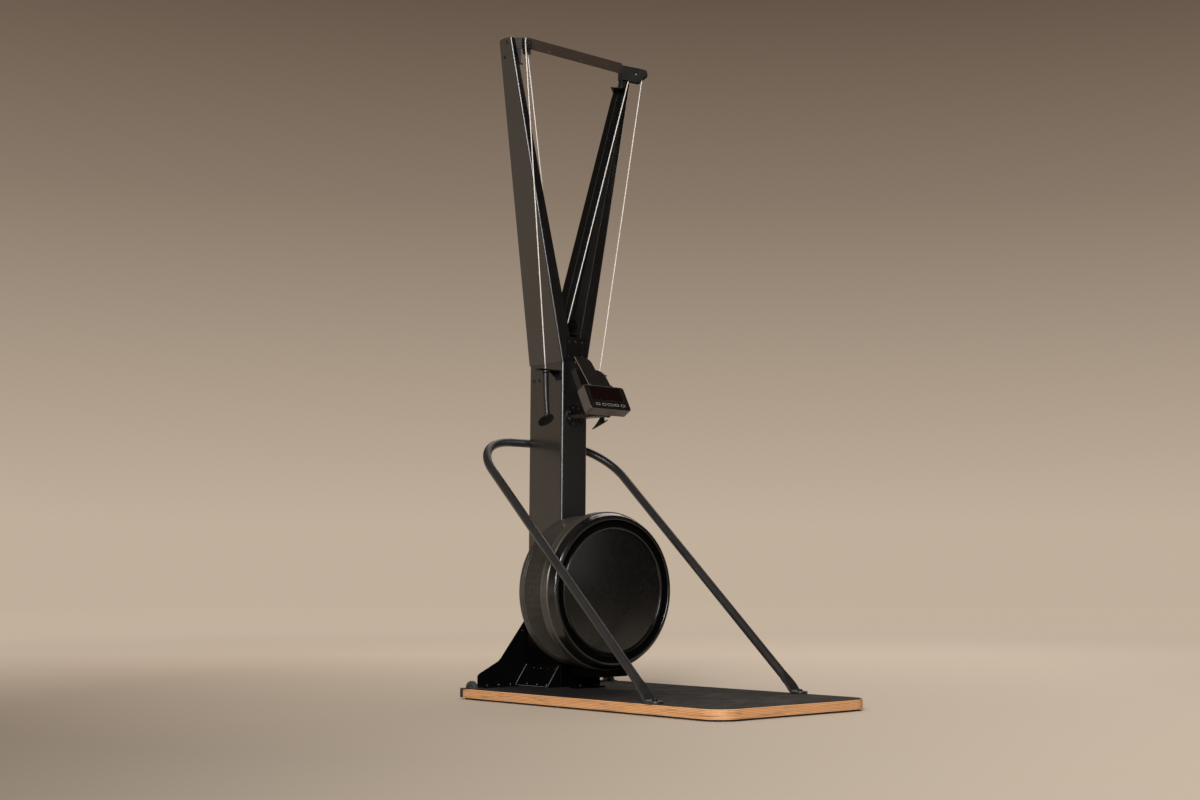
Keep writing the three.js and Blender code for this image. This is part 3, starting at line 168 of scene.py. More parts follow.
def grid(points, loop_rows=False, loop_columns=True, caps=True):
    """Quads between neighbours in a table of points. Rows or columns may close on themselves,
    and the first and last row may each be closed by one flat face."""
    points = np.asarray(points, float)
    rows, columns = points.shape[:2]
    index = np.arange(rows * columns).reshape(rows, columns)
    low, high = (index, np.roll(index, -1, 0)) if loop_rows else (index[:-1], index[1:])
    if loop_columns:
        quads = np.stack([low, np.roll(low, -1, 1), np.roll(high, -1, 1), high], -1)
    else:
        quads = np.stack([low[:, :-1], low[:, 1:], high[:, 1:], high[:, :-1]], -1)
    ends = [index[0][::-1], index[-1]] if caps and not loop_rows else []
    return Skin(points.reshape(-1, 3), quads.reshape(-1, 4), ends).facing_out()


def counterclockwise(outline):
    """The outline in the turn that makes its area, half the sum of x y' - x' y, positive."""
    o = np.asarray(outline, float)
    n = np.roll(o, -1, 0)
    return o if (o[:, 0] * n[:, 1] - n[:, 0] * o[:, 1]).sum() > 0 else o[::-1]


def rounded(corners, radius, steps=6):
    """A closed outline whose corners become arcs: each arc touches both sides of its corner, its
    centre lies on the line that halves the corner, radius / sin(half the angle) away. A straight
    corner has no such line, and its points drop out with the doubled ones."""
    p = np.asarray(corners, float)
    r = np.broadcast_to(np.asarray(radius, float), len(p))[:, None]
    a, b = unit(np.roll(p, 1, 0) - p), unit(np.roll(p, -1, 0) - p)
    half = np.arccos(np.clip((a * b).sum(1), -0.99999, 0.99999))[:, None] / 2
    with np.errstate(invalid="ignore"):
        centre = p + unit(a + b) * r / np.sin(half)
    start, end = p + a * r / np.tan(half) - centre, p + b * r / np.tan(half) - centre
    angle = (pi - 2 * half)[:, :, None]
    t = np.linspace(0, 1, steps + 1)[None, :, None]
    arcs = np.sin((1 - t) * angle) * start[:, None] + np.sin(t * angle) * end[:, None]
    out = (centre[:, None] + arcs / np.sin(angle)).reshape(-1, 2)
    keep = np.linalg.norm(out - np.roll(out, 1, 0), axis=1) > 1e-7
    return out[keep]


def inset(outline, distance):
    """The outline moved inwards: each point goes along the mean of its two sides' normals, by
    distance / cos(half the turn), so that every side moves by the same distance."""
    step = unit(np.roll(outline, -1, 0) - outline)
    normal = np.stack([-step[:, 1], step[:, 0]], 1)
    before = np.roll(normal, 1, 0)
    return outline + distance * (normal + before) / (1 + (normal * before).sum(1, keepdims=True))


def stacked(levels, loop_rows=False):
    """Outlines with as many points each, one above the other."""
    return grid([np.column_stack([o, np.full(len(o), z)]) for o, z in levels], loop_rows)


def plate(outline, low, high, soft=0.6 * MM, steps=2):
    """An outline run from one level to another. Its rims are quarter rounds: at the angle a the
    outline is inset by soft * (1 - cos a) and lies soft * (1 - sin a) below the face."""
    o = counterclockwise(outline)
    a = np.linspace(0, pi / 2, steps + 1)
    ins, up = soft * (1 - np.cos(a)), soft * (1 - np.sin(a))
    levels = [(i, low + u) for i, u in zip(ins[::-1], up[::-1])] + [(i, high - u) for i, u in zip(ins, up)]
    return stacked([(inset(o, i), z) for i, z in levels])


def box(x0, x1, y0, y1, z0, z1, soft=0.6 * MM, corner=None, steps=3):
    """A block with rounded rims; its upright edges have the radius corner."""
    corner = soft if corner is None else corner
    return plate(rounded([(x0, y0), (x1, y0), (x1, y1), (x0, y1)], corner, steps), z0, z1, soft)


def turned(profile, segments=64, soft=0.0, steps=3, closed=True):
    """A profile of (radius, height) pairs turned about local z: x = r cos t, y = r sin t."""
    p = np.asarray(profile, float)
    if closed and np.any(np.asarray(soft) > 0):
        p = rounded(p, soft, steps)
    height = np.broadcast_to(p[:, None, 1:], (len(p), segments, 1))
    table = np.concatenate([p[:, None, :1] * circle(1, segments)[None], height], -1)
    return grid(table, loop_rows=closed, caps=not closed)


def carried(path, sections, side):
    """Sections of (across, up) pairs carried along a path. At each point the section stands square
    to the path: across lies along side less its part along the path, up is square to both."""
    path = np.asarray(path, float)
    along = unit(np.gradient(path, axis=0))
    side = np.broadcast_to(np.asarray(side, float), path.shape)
    across = unit(side - along * (side * along).sum(1, keepdims=True))
    up = np.cross(along, across)
    s = np.broadcast_to(np.asarray(sections, float), (len(path),) + np.shape(sections)[-2:])
    return path[:, None] + s[..., :1] * across[:, None] + s[..., 1:] * up[:, None]


def circle(radius, count):
    """Points at equal angles: (r cos t, r sin t)."""
    t = np.linspace(0, 2 * pi, count, endpoint=False)
    return np.stack([radius * np.cos(t), radius * np.sin(t)], -1)


def squarish(half_width, half_height, power, count=32):
    """A ring between an ellipse (power 2) and a box (high power): |x/a|^n + |y/b|^n = 1."""
    c, s = circle(1, count).T
    r = (np.abs(c) ** power + np.abs(s) ** power) ** (-1 / power)
    return np.stack([half_width * r * c, half_height * r * s], -1)


def arc(centre, start, end, radius, count):
    """Points round a centre, from one direction to another by the shorter way."""
    a, b = unit(start), unit(end)
    angle = np.arccos(np.clip(a @ b, -1, 1))
    t = np.linspace(0, 1, count)[:, None]
    return np.asarray(centre) + radius * (np.sin((1 - t) * angle) * a + np.sin(t * angle) * b) / sin(angle)


def evenly(points, spacing):
    """The same line with points added so that none are further apart than spacing."""
    points = np.asarray(points, float)
    gaps = np.linalg.norm(np.diff(points, axis=0), axis=1)
    counts = np.maximum(np.ceil(gaps / spacing).astype(int), 1)
    parts = [a + (b - a) * np.arange(n)[:, None] / n for a, b, n in zip(points[:-1], points[1:], counts)]
    return np.vstack(parts + [points[-1:]])


def bolt(place, normal, radius=6.5 * MM, height=5 * MM, washer=9.5 * MM, sides=20):
    """A socket head on a washer. The wall of the socket is the ring r = flat / cos(angle from the
    middle of its side), which is a hexagon."""
    n = unit(normal)
    x = unit(np.cross((0, 0, 1) if abs(n[2]) < 0.9 else (1, 0, 0), n))
    thick = 1.2 * MM
    profile = np.array([
        (washer, 0), (washer, thick * 0.7), (washer - thick * 0.4, thick), (radius, thick),
        (radius, height - 1.1 * MM), (radius * 0.86, height), (radius * 0.58, height),
        (radius * 0.54, height - 0.4 * MM), (radius * 0.54, height * 0.45),
    ])
    t = np.linspace(0, 2 * pi, sides, endpoint=False)
    hexagon = cos(pi / 6) / np.cos(np.mod(t, pi / 3) - pi / 6)
    r = np.repeat(profile[:, :1], sides, 1)
    r[-3:] *= hexagon
    table = np.stack([r * np.cos(t), r * np.sin(t), np.repeat(profile[:, 1:], sides, 1)], -1)
    return grid(table).moved(placed(x, np.cross(n, x), n, place))


# ---------------------------------------------------------------- objects
def enter(name, mesh, finish, body, replaces, broken=None, even=True):
    """Puts a mesh into the scene as a smooth piece that rides on a body. Edges sharper than 35
    degrees may be broken, and face-area weighted normals keep broad faces flat and rims round."""
    mesh.polygons.foreach_set("use_smooth", np.ones(len(mesh.polygons), bool))
    mesh.materials.clear()
    mesh.materials.append(finish)
    piece = bpy.data.objects.new(name, mesh)
    bpy.context.scene.collection.objects.link(piece)
    if broken:
        bevel = piece.modifiers.new("Broken edges", "BEVEL")
        bevel.width, bevel.segments, bevel.use_clamp_overlap = broken, 2, True
        bevel.limit_method, bevel.angle_limit = "ANGLE", radians(35)
    if even:
        piece.modifiers.new("Flat broad faces", "WEIGHTED_NORMAL").weight = 90
    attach(piece, body)
    if replaces:
        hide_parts(*replaces)
    return piece


def show(name, skin, body, finish, replaces=(), even=True):
    """A piece made from a surface."""
    mesh = bpy.data.meshes.new(name)
    mesh.from_pydata(skin.points.tolist(), [], skin.quads.tolist() + [e.tolist() for e in skin.ends])
    mesh.update()
    return enter(name, mesh, finish, body, replaces, even=even)


def softened(node, finish, broken=0.7 * MM, body="base"):
    """A folded or machined piece with its edges broken: the node's own surface, joined up, with
    its flat faces made whole."""
    build = bmesh.new()
    build.from_mesh(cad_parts[node].data)
    bmesh.ops.remove_doubles(build, verts=build.verts, dist=2e-6)
    bmesh.ops.dissolve_limit(build, angle_limit=radians(0.5), verts=build.verts, edges=build.edges)
    mesh = bpy.data.meshes.new(node + "_piece")
    build.to_mesh(mesh)
    build.free()
    enter(node + "_piece", mesh, finish, body, [node], broken)


def painted(node, finish):
    """A node that keeps its own shape gets a finish."""
    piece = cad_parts[node]
    if not piece.material_slots:
        piece.data.materials.append(finish)
    for s in piece.material_slots:
        s.material = finish


def lengthwise_uv(mesh, lengths, columns, around):
    """A UV map in metres for a tube: u runs round it, v along it. Each corner's row and column
    come from its point's number, and the last column closes on a full turn."""
    corner = np.empty(len(mesh.loops), int)
    mesh.loops.foreach_get("vertex_index", corner)
    row, column = corner // columns, corner % columns
    count = np.empty(len(mesh.polygons), int)
    mesh.polygons.foreach_get("loop_total", count)
    face = np.repeat(np.arange(len(count)), count)
    widest = np.zeros(len(count), int)
    np.maximum.at(widest, face, column)
    wraps = (widest[face] == columns - 1) & (column == 0)
    u = np.where(wraps, columns, column) / columns * around
    layer = mesh.uv_layers.new(name="UVMap")
    layer.data.foreach_set("uv", np.stack([u, lengths[row]], 1).ravel())


# ---------------------------------------------------------------- finishes
class Nodes:
    """A tree of shader nodes and the few kinds of node that it is built from."""

    def __init__(self, owner):
        owner.use_nodes = True
        self.tree = owner.node_tree

    def fill(self, socket, value):
        """Links a node's output to a socket, or writes a constant there."""
        if isinstance(value, bpy.types.NodeSocket):
            self.tree.links.new(value, socket)
        else:
            socket.default_value = value

    def node(self, kind, settings=None, **inputs):
        n = self.tree.nodes.new(kind)
        for key, value in (settings or {}).items():
            setattr(n, key, value)
        for key, value in inputs.items():
            self.fill(n.inputs[key.replace("_", " ")], value)
        return n

    def sum(self, operation, *values):
        """One step of arithmetic on numbers or outputs."""
        n = self.node("ShaderNodeMath", {"operation": operation})
        for socket, value in zip(n.inputs, values):
            self.fill(socket, value)
        return n.outputs[0]

    def times(self, value, *factors):
        """The product of numbers or outputs."""
        for factor in factors:
            value = self.sum("MULTIPLY", value, factor)
        return value

    def spread(self, value, low, high, start=0.3, end=0.7, curve="LINEAR"):
        """A value between start and end, as a share of the way from low to high."""
        n = self.node("ShaderNodeMapRange", {"clamp": True, "interpolation_type": curve}, Value=value)
        for socket, number in zip(("From Min", "From Max", "To Min", "To Max"), (start, end, low, high)):
            n.inputs[socket].default_value = number
        return n.outputs[0]

    def along(self, vector, direction):
        """How far a place lies in a direction."""
        n = self.node("ShaderNodeVectorMath", {"operation": "DOT_PRODUCT"}, Vector=vector)
        n.inputs[1].default_value = direction
        return n.outputs["Value"]

    def rays(self):
        """Camera rays, and those that come by a mirror or through glass: 1 for them and 0 for light."""
        rays = self.node("ShaderNodeLightPath").outputs
        return rays["Is Camera Ray"], self.sum("MAXIMUM", rays["Is Glossy Ray"], rays["Is Transmission Ray"])


class Finish(Nodes):
    """A material of nodes round one shader, with patterns read from the piece's own coordinates."""

    def __init__(self, name, colour, roughness, **sockets):
        self.material = bpy.data.materials.new(name)
        super().__init__(self.material)
        self.shader = self.tree.nodes["Principled BSDF"]
        self.shader.inputs["Base Color"].default_value = (*colour[:3], 1)
        self.shader.inputs["Roughness"].default_value = roughness
        for socket, value in sockets.items():
            self.shader.inputs[socket.replace("_", " ")].default_value = value
        self.normal = None

    def coordinates(self, scale=(1, 1, 1), turn=(0, 0, 0), uv=False):
        place = self.node("ShaderNodeTexCoord").outputs["UV" if uv else "Object"]
        return self.node("ShaderNodeMapping", Vector=place, Scale=scale, Rotation=turn).outputs[0]

    def axis(self, number):
        """x, y or z of the piece's own coordinates."""
        return self.node("ShaderNodeSeparateXYZ", Vector=self.coordinates()).outputs[number]

    def noise(self, scale, detail=2.0, vector=None, roughness=0.5):
        vector = self.coordinates() if vector is None else vector
        settings = {"Vector": vector, "Scale": scale, "Detail": detail, "Roughness": roughness}
        return self.node("ShaderNodeTexNoise", **settings).outputs["Fac"]

    def cells(self, scale, vector=None, feature="F1"):
        vector = self.coordinates() if vector is None else vector
        n = self.node("ShaderNodeTexVoronoi", {"feature": feature}, Vector=vector, Scale=scale)
        return n.outputs["Distance"]

    def mixed(self, factor, low, high):
        n = self.node("ShaderNodeMix", {"data_type": "RGBA"})
        self.fill(n.inputs["Factor"], factor)
        for socket, value in ((n.inputs[6], low), (n.inputs[7], high)):
            self.fill(socket, value if isinstance(value, bpy.types.NodeSocket) else (*value[:3], 1))
        return n.outputs[2]

    def clouds(self, colour, low, high, scale, detail=4):
        """Soft clouds of tone between two shades of a colour."""
        cloud = self.spread(self.noise(scale, detail), 0, 1)
        return self.mixed(cloud, shade(colour, low), shade(colour, high))

    def colour(self, socket):
        self.fill(self.shader.inputs["Base Color"], socket)

    def rough(self, socket):
        self.fill(self.shader.inputs["Roughness"], socket)

    def relief(self, height, depth, strength=1.0):
        """A bump on top of those before it."""
        n = self.node("ShaderNodeBump", Height=height, Distance=depth, Strength=strength)
        if self.normal is not None:
            self.fill(n.inputs["Normal"], self.normal)
        self.normal = n.outputs[0]
        self.fill(self.shader.inputs["Normal"], self.normal)


def shade(colour, factor):
    """A colour times a factor, at most 1."""
    return tuple(min(c * factor, 1.0) for c in colour[:3])


def powder_coat(name, colour, roughness, coat=0.35, gloss=0.5, peel=1.0, painted_shade_below=None):
    """Baked powder paint: an orange peel under a millimetre wide, soft clouds of tone, a roughness
    that wanders a little, and a thin glossier skin on top. Below a level a painted shade may turn
    the paint to a dull black over four centimetres, standing in for a shadow that falls there."""
    f = Finish(name, colour, roughness, Coat_Weight=coat, Coat_Roughness=0.24, Specular_IOR_Level=gloss)
    tone = f.clouds(colour, 0.86, 1.16, 5)
    wander = f.spread(f.noise(38, 5), roughness - 0.05, roughness + 0.07)
    if painted_shade_below is not None:
        # painted shade: below the level the paint turns dull black, for a shadow that falls there
        above = f.spread(f.axis(2), 0, 1, painted_shade_below - 0.03, painted_shade_below + 0.01)
        tone = f.mixed(above, (0.0015, 0.0013, 0.0011), tone)
        f.fill(f.shader.inputs["Coat Weight"], f.times(above, coat))
        f.fill(f.shader.inputs["Specular IOR Level"], f.spread(above, 0.04, gloss, 0, 1))
    f.colour(tone)
    f.rough(wander)
    f.relief(f.noise(520, 2), 0.00008, 0.5 * peel)
    f.relief(f.noise(1700, 1), 0.00003, 0.5 * peel)
    return f.material


def plywood(colours, layers):
    """Birch plies seen on edge: the height within the board picks the ply. Every other ply shows
    long grain, streaks drawn out along the edge, and the ones between show end grain, fine dots;
    thin dark glue lines part them, and short dark flecks lie along all of them."""
    f = Finish("Plywood", colours.ply_light, 0.5)
    thick = BOARD_TOP - BOARD_LOW
    ply = f.sum("MULTIPLY_ADD", f.axis(2), layers / thick, -BOARD_LOW * layers / thick)
    wave = f.sum("MULTIPLY_ADD", f.noise(1, 3, f.coordinates((5, 5, 5))), 0.22, ply)
    inside = f.sum("FRACT", wave)
    crosswise = f.sum("GREATER_THAN", f.sum("FRACT", f.times(wave, 0.5)), 0.5)
    streaks = f.noise(1, 6, f.coordinates((4, 4, 420)), 0.75)
    dots = f.noise(1, 4, f.coordinates((420, 420, 1100)), 0.7)
    flecks = f.spread(f.noise(1, 4, f.coordinates((10, 10, 300)), 0.65), 0, 1, 0.55, 0.63)
    long_grain = f.mixed(f.spread(streaks, 0, 1), colours.ply_light, shade(colours.ply_light, 0.62))
    end_grain = f.mixed(f.spread(dots, 0, 1), colours.ply_dark, shade(colours.ply_dark, 0.6))
    face = f.mixed(crosswise, long_grain, end_grain)
    face = f.mixed(f.times(flecks, 0.7), face, shade(colours.ply_dark, 0.3))
    glue = f.sum("LESS_THAN", inside, 0.13)
    f.colour(f.mixed(f.times(glue, 0.75), face, shade(colours.ply_dark, 0.3)))
    f.rough(f.spread(dots, 0.42, 0.62))
    f.relief(f.sum("SUBTRACT", dots, glue), 0.00015, 0.5)
    return f.material


def grip_sheet(colour):
    """Anti-slip sheet: rounded grains, coarser worn spots a few centimetres wide and paler scuffs
    where shoes rub, towards the front. Its colour carries a painted shade, darker round the mast's
    foot where the drum's shadow falls, and a painted light, brighter towards the front."""
    f = Finish("Grip sheet", colour, 0.82, Specular_IOR_Level=0.30)
    scuff = f.spread(f.noise(1, 6, f.coordinates((5, 2.2, 3), (0, 0, 0.5)), 0.72), 0, 1, 0.36, 0.70)
    spots = f.spread(f.noise(17, 5, None, 0.72), 0, 1, 0.44, 0.60)
    grit = f.spread(f.noise(1, 3, f.coordinates((110, 320, 200))), 0, 1, 0.40, 0.60)
    # painted shade near the mast and painted light towards the front; the worn spots and scuffs follow the
    # same share
    wear_and_painted_light = f.spread(f.axis(1), 1, 0, -0.84, -0.36)
    base = f.mixed(wear_and_painted_light, shade(colour, 0.42), shade(colour, 3.3))
    dark = f.mixed(f.times(grit, 0.7), base, shade(colour, 0.35))
    dark = f.mixed(f.times(spots, wear_and_painted_light, 0.75), dark, shade(colour, 3.4))
    f.colour(f.mixed(f.times(scuff, wear_and_painted_light, 0.5), dark, shade(colour, 3.0)))
    f.rough(f.spread(spots, 0.88, 0.70, 0, 1))
    f.relief(f.sum("SUBTRACT", 1.0, f.cells(330, feature="SMOOTH_F1")), 0.0007, 0.9)
    f.relief(grit, 0.0008, 0.7)
    f.relief(spots, 0.0012, 0.5)
    return f.material


def black_rubber(name, colour, roughness=0.8):
    """Rubber: fine pores and a dusty bloom."""
    f = Finish(name, colour, roughness)
    f.colour(f.clouds(colour, 1, 1.7, 30, 5))
    f.relief(f.noise(1500, 3), 0.0001, 0.6)
    return f.material


def moulded(name, colour, roughness, grain=1300, depth=0.00008, coat=0.0, gloss=0.5):
    """Moulded plastic with a spark-eroded texture: fine even grain and slight sink marks."""
    f = Finish(name, colour, roughness, Coat_Weight=coat, Coat_Roughness=0.15, Specular_IOR_Level=gloss)
    f.colour(f.clouds(colour, 0.9, 1.12, 7))
    f.rough(f.spread(f.noise(90, 4), roughness - 0.04, roughness + 0.06))
    f.relief(f.noise(grain, 2), depth, 0.7)
    f.relief(f.noise(9, 2), 0.0006, 0.12)
    return f.material


def metal(name, colour, roughness, brushed=(1, 1, 1)):
    """Plain metal with fine marks drawn out one way and a few darker stains."""
    f = Finish(name, colour, roughness, Metallic=1.0)
    marks = f.noise(1, 5, f.coordinates(brushed), 0.7)
    f.colour(f.clouds(colour, 0.8, 1, 25, 5))
    f.rough(f.spread(marks, roughness - 0.08, roughness + 0.12))
    f.relief(marks, 0.00004, 0.4)
    return f.material


def braid(name, colour):
    """Braided cord: strands slant both ways round the cord. u runs round it and v along it, and
    the height is the taller of two slanted waves, four of them round the cord and one every 3.2 mm
    along it."""
    f = Finish(name, colour, 0.75)
    uv = f.node("ShaderNodeSeparateXYZ", Vector=f.coordinates(uv=True))
    u = f.times(uv.outputs[0], 4 / ROPE_RADIUS)
    v = f.times(uv.outputs[1], 2 * pi / (3.2 * MM))
    height = f.sum("MAXIMUM", *(f.sum("SINE", f.sum(way, u, v)) for way in ("ADD", "SUBTRACT")))
    # the grooves between the strands are painted darker: a painted shade
    f.colour(f.mixed(f.spread(height, 0, 1, -0.2, 0.9), shade(colour, 0.6), colour))
    f.relief(height, 0.0003, 0.8)
    return f.material


def black_glass(name, colour):
    """A clear window over a dark display: smooth, with faint smears."""
    f = Finish(name, colour, 0.16, Coat_Weight=0.2, Coat_Roughness=0.06, Specular_IOR_Level=0.35)
    f.rough(f.spread(f.noise(14, 6), 0.12, 0.24))
    f.colour(f.clouds(colour, 0.8, 1.3, 2, 2))
    return f.material


# ---------------------------------------------------------------- sizes and colours to change
def length(name, description, default, low=0.0, high=1.0):
    return bpy.props.FloatProperty(
        name=name, description=description, default=default, min=low, max=high, unit="LENGTH", precision=4
    )


def tint(name, description, default):
    return bpy.props.FloatVectorProperty(
        name=name, description=description, default=default, size=3, min=0, max=1, subtype="COLOR"
    )


class MachineSizes(bpy.types.PropertyGroup):
    slats: bpy.props.IntProperty(
        name="Drum slats", description="How many slats stand round the drum's vented band",
        default=400, min=24, max=420,
    )
    slat_width: length("Slat width", "Width of one slat round the drum", 0.0023, 0.001, 0.01)
    plies: bpy.props.IntProperty(
        name="Plies", description="How many plies the board's edge shows", default=13, min=3, max=25
    )
    broken_edge: length("Broken edge", "Radius on the edges of folded and cut metal", 0.0006, 0.0001, 0.003)
    bolt_head: length("Bolt head", "Radius of the large socket heads", 0.0056, 0.003, 0.012)
    small_head: length("Small head", "Radius of the small socket heads", 0.0040, 0.002, 0.01)


class MachineColours(bpy.types.PropertyGroup):
    ply_light: tint("Ply light", "Long-grain plies on the board's edge", (0.80, 0.415, 0.18))
    ply_dark: tint("Ply dark", "End-grain plies on the board's edge", (0.52, 0.235, 0.088))
    grip: tint("Grip sheet", "Top sheet of the platform", (0.0092, 0.0070, 0.0055))
    frame_paint: tint("Frame paint", "Mast and arms", (0.0024, 0.0019, 0.0015))
    # a lighter copy of the frame paint: painted light, for the light that falls on the high flat bar
    bar_painted_light: tint("Crossbar painted light", "Flat bar between the arms", (0.030, 0.0195, 0.0135))
    bracket_paint: tint("Bracket paint", "Folded brackets and plates", (0.0024, 0.0022, 0.0021))
    pulley_paint: tint("Pulley bracket paint", "Brackets of the top pulleys", (0.0030, 0.0029, 0.0027))
    brace_paint: tint("Brace paint", "Bent tube", (0.0125, 0.0120, 0.0112))
    drum: tint("Drum", "Housing, slats and rings", (0.014, 0.0122, 0.0098))
    drum_face: tint("Drum face", "Glossy cover and dished disc", (0.0035, 0.0030, 0.0026))
    rope: tint("Rope", "Braided pull rope", (0.78, 0.72, 0.66))
    handle: tint("Handle", "Grips and their ends", (0.005, 0.0049, 0.0047))
    console: tint("Console", "Console's face, back plate and phone rest", (0.0050, 0.0038, 0.0031))
    case: tint("Case", "Sides of the console's case", (0.050, 0.041, 0.032))
    window: tint("Window", "Display window on the console", (0.0046, 0.0019, 0.0016))
    key: tint("Key rim", "Rims of the keys", (0.26, 0.245, 0.225))


# ---------------------------------------------------------------- platform
def platform_outline(step_in, notch_inner, notch_front, slot=False):
    """Half the outline from the front corner back, round the notch for the wheel, then its mirror.
    The notch is a slot in the rear edge, or else it takes the whole corner."""
    half, front, rear = BOARD_HALF - step_in, BOARD_FRONT + step_in, BOARD_REAR - step_in
    right = [(half, front, BOARD_CORNER - step_in)]
    if slot:
        outer = WHEEL_AT[0] + WHEEL_SLOT
        right += [(half, rear, 0.004), (outer, rear, 0.003), (outer, notch_front, 0.003)]
    else:
        right += [(half, notch_front, 0.004)]
    right += [(notch_inner, notch_front, 0.004), (notch_inner, rear, 0.004)]
    both = right + [(-x, y, r) for x, y, r in reversed(right)]
    return rounded([p[:2] for p in both], [p[2] for p in both], 10)


class TRAINER_OT_platform(bpy.types.Operator):
    """Plywood board, its grip sheet and the thin underlay"""

    bl_idname = "trainer.platform"
    bl_label = "Platform"

    def execute(self, context):
        sizes, colours = context.scene.trainer_sizes, context.scene.trainer_colours
        notch, notch_front, mat_notch = WHEEL_AT[0] - WHEEL_SLOT, 0.1282, 0.2429
        board = plate(platform_outline(0.0, notch, notch_front, True), BOARD_LOW, BOARD_TOP, 1.0 * MM, 3)
        show("plywood_board", board, "base", plywood(colours, sizes.plies), ["platform_board"])
        edge = platform_outline(MAT_INSET, mat_notch, notch_front - MAT_INSET)
        sheet = plate(edge, BOARD_TOP, DECK, 0.5 * MM)
        show("grip_top", sheet, "base", grip_sheet(colours.grip), ["grip_mat"])
        painted("underlay", black_rubber("Underlay", (0.02, 0.02, 0.02)))
        return {"FINISHED"}


class TRAINER_OT_wheels(bpy.types.Operator):
    """Two transport wheels, each a tyre on a recessed hub, and the brackets that hold them"""

    bl_idname = "trainer.wheels"
    bl_label = "Wheels"

    def execute(self, context):
        colours = context.scene.trainer_colours
        tyre = turned(mm([(12.8, -8.4), (21, -9), (25.5, -6.5), (25.5, 6.5), (21, 9), (12.8, 8.4)]),
                      48, mm([0.4, 1.5, 3.5, 3.5, 1.5, 0.4]), 4)
        hub = turned(mm([(4.3, -9), (7.4, -9), (8.2, -4), (11.6, -4), (12.6, -8.2), (12.6, 8.2),
                               (11.6, 4), (8.2, 4), (7.4, 9), (4.3, 9)]), 36, 0.5 * MM, 2)
        rubber = black_rubber("Wheel rubber", (0.022, 0.022, 0.021), 0.7)
        nylon = moulded("Wheel hub", (0.05, 0.049, 0.047), 0.5)
        paint = powder_coat("Wheel bracket paint", colours.bracket_paint, 0.46)
        for side, s in SIDES:
            place, wheel = at(ALONG_X, WHEEL_AT * (s, 1, 1)), f"wheel_{side}"
            show(f"tyre_{side}", tyre.moved(place), wheel, rubber, [wheel])
            show(f"wheel_hub_{side}", hub.moved(place), wheel, nylon)
            softened(f"wheel_bracket_{side}", paint)
        return {"FINISHED"}


# ---------------------------------------------------------------- mast and arms
def hollow(outer_low, outer_high, inner_low, inner_high, low, high, soft):
    """A tube of any outline, straight or tapered, with rounded rims at both of its open ends."""
    return stacked([
        (inset(outer_low, soft), low), (outer_low, low + soft), (outer_high, high - soft),
        (inset(outer_high, soft), high), (inset(inner_high, -soft), high), (inner_high, high - soft),
        (inner_low, low + soft), (inset(inner_low, -soft), low),
    ], loop_rows=True)


def rectangle(x0, x1, y0, y1, radius, steps=8):
    """Four corners, each an arc."""
    return counterclockwise(rounded([(x0, y0), (x1, y0), (x1, y1), (x0, y1)], radius, steps))


def arm_lines(z):
    """Outer side, inner edge, front and back of an arm at a height: each runs straight up it."""
    share = (z - ARM_FOOT) / (ARM_TIP - ARM_FOOT)
    return [low + (high - low) * share for low, high in ARM_LINES]


def cover_outline(z):
    """An arm cover cut across at a height: a sheet folded to an L, its web along the outer side and
    its flange across the front."""
    outer, inner, front, back = arm_lines(z)
    corners = [(outer, back), (outer, front), (inner, front), (inner, front + SHEET),
               (outer - SHEET, front + SHEET), (outer - SHEET, back)]
    return counterclockwise(rounded(corners, mm([0.5, 7, 0.5, 0.5, 4, 0.5]), 8))


def spine_outline(z, wall, radius):
    """The box tube inside an arm, cut across at a height. Its front edge comes forward in a straight
    line as it rises, and the wall is taken off all round for the tube's inside."""
    outer, inner, _, back = arm_lines(z)
    share = (z - ARM_FOOT) / (SPINE_TOP - ARM_FOOT)
    front = SPINE_FRONT[0] + (SPINE_FRONT[1] - SPINE_FRONT[0]) * share
    return rectangle(inner + wall, outer - SHEET - 0.3 * MM - wall, front + wall, back - wall, radius, 4)


class TRAINER_OT_mast(bpy.types.Operator):
    """Hollow mast, the cap at its back over the fan's shaft, and the plates at its top"""

    bl_idname = "trainer.mast"
    bl_label = "Mast"

    def execute(self, context):
        sizes, colours = context.scene.trainer_sizes, context.scene.trainer_colours
        # below 0.185 m the mast's paint turns to a painted shade, for the shadow under the drum
        paint = powder_coat("Mast paint", colours.frame_paint, 0.36, 1.0, 0.5, 0.6, 0.185)
        outer = rectangle(-MAST_HALF, MAST_HALF, 0, MAST_DEPTH, 0.009)
        inner = rectangle(-MAST_HALF + SHEET, MAST_HALF - SHEET, SHEET, MAST_DEPTH - SHEET, 0.006)
        column = hollow(outer, outer, inner, inner, DECK, MAST_TOP, 0.5 * MM)
        show("mast", column, "base", paint, ["mast_column"])
        cap = turned(mm([(30, 0), (30, 2.2), (22, 3.2), (19, 6.5), (0.6, 7)]), 48, closed=False)
        show("shaft_cap", cap.moved(placed((1, 0, 0), (0, 0, -1), (0, 1, 0), (0, MAST_DEPTH, SHAFT_Z))),
             "base", moulded("Shaft cap", colours.drum, 0.45))
        steel = powder_coat("Joint plate paint", colours.bracket_paint, 0.5, 0.0, 0.2)
        for node in ("yoke_plate", "guide_bracket"):
            softened(node, steel, sizes.broken_edge)
        return {"FINISHED"}


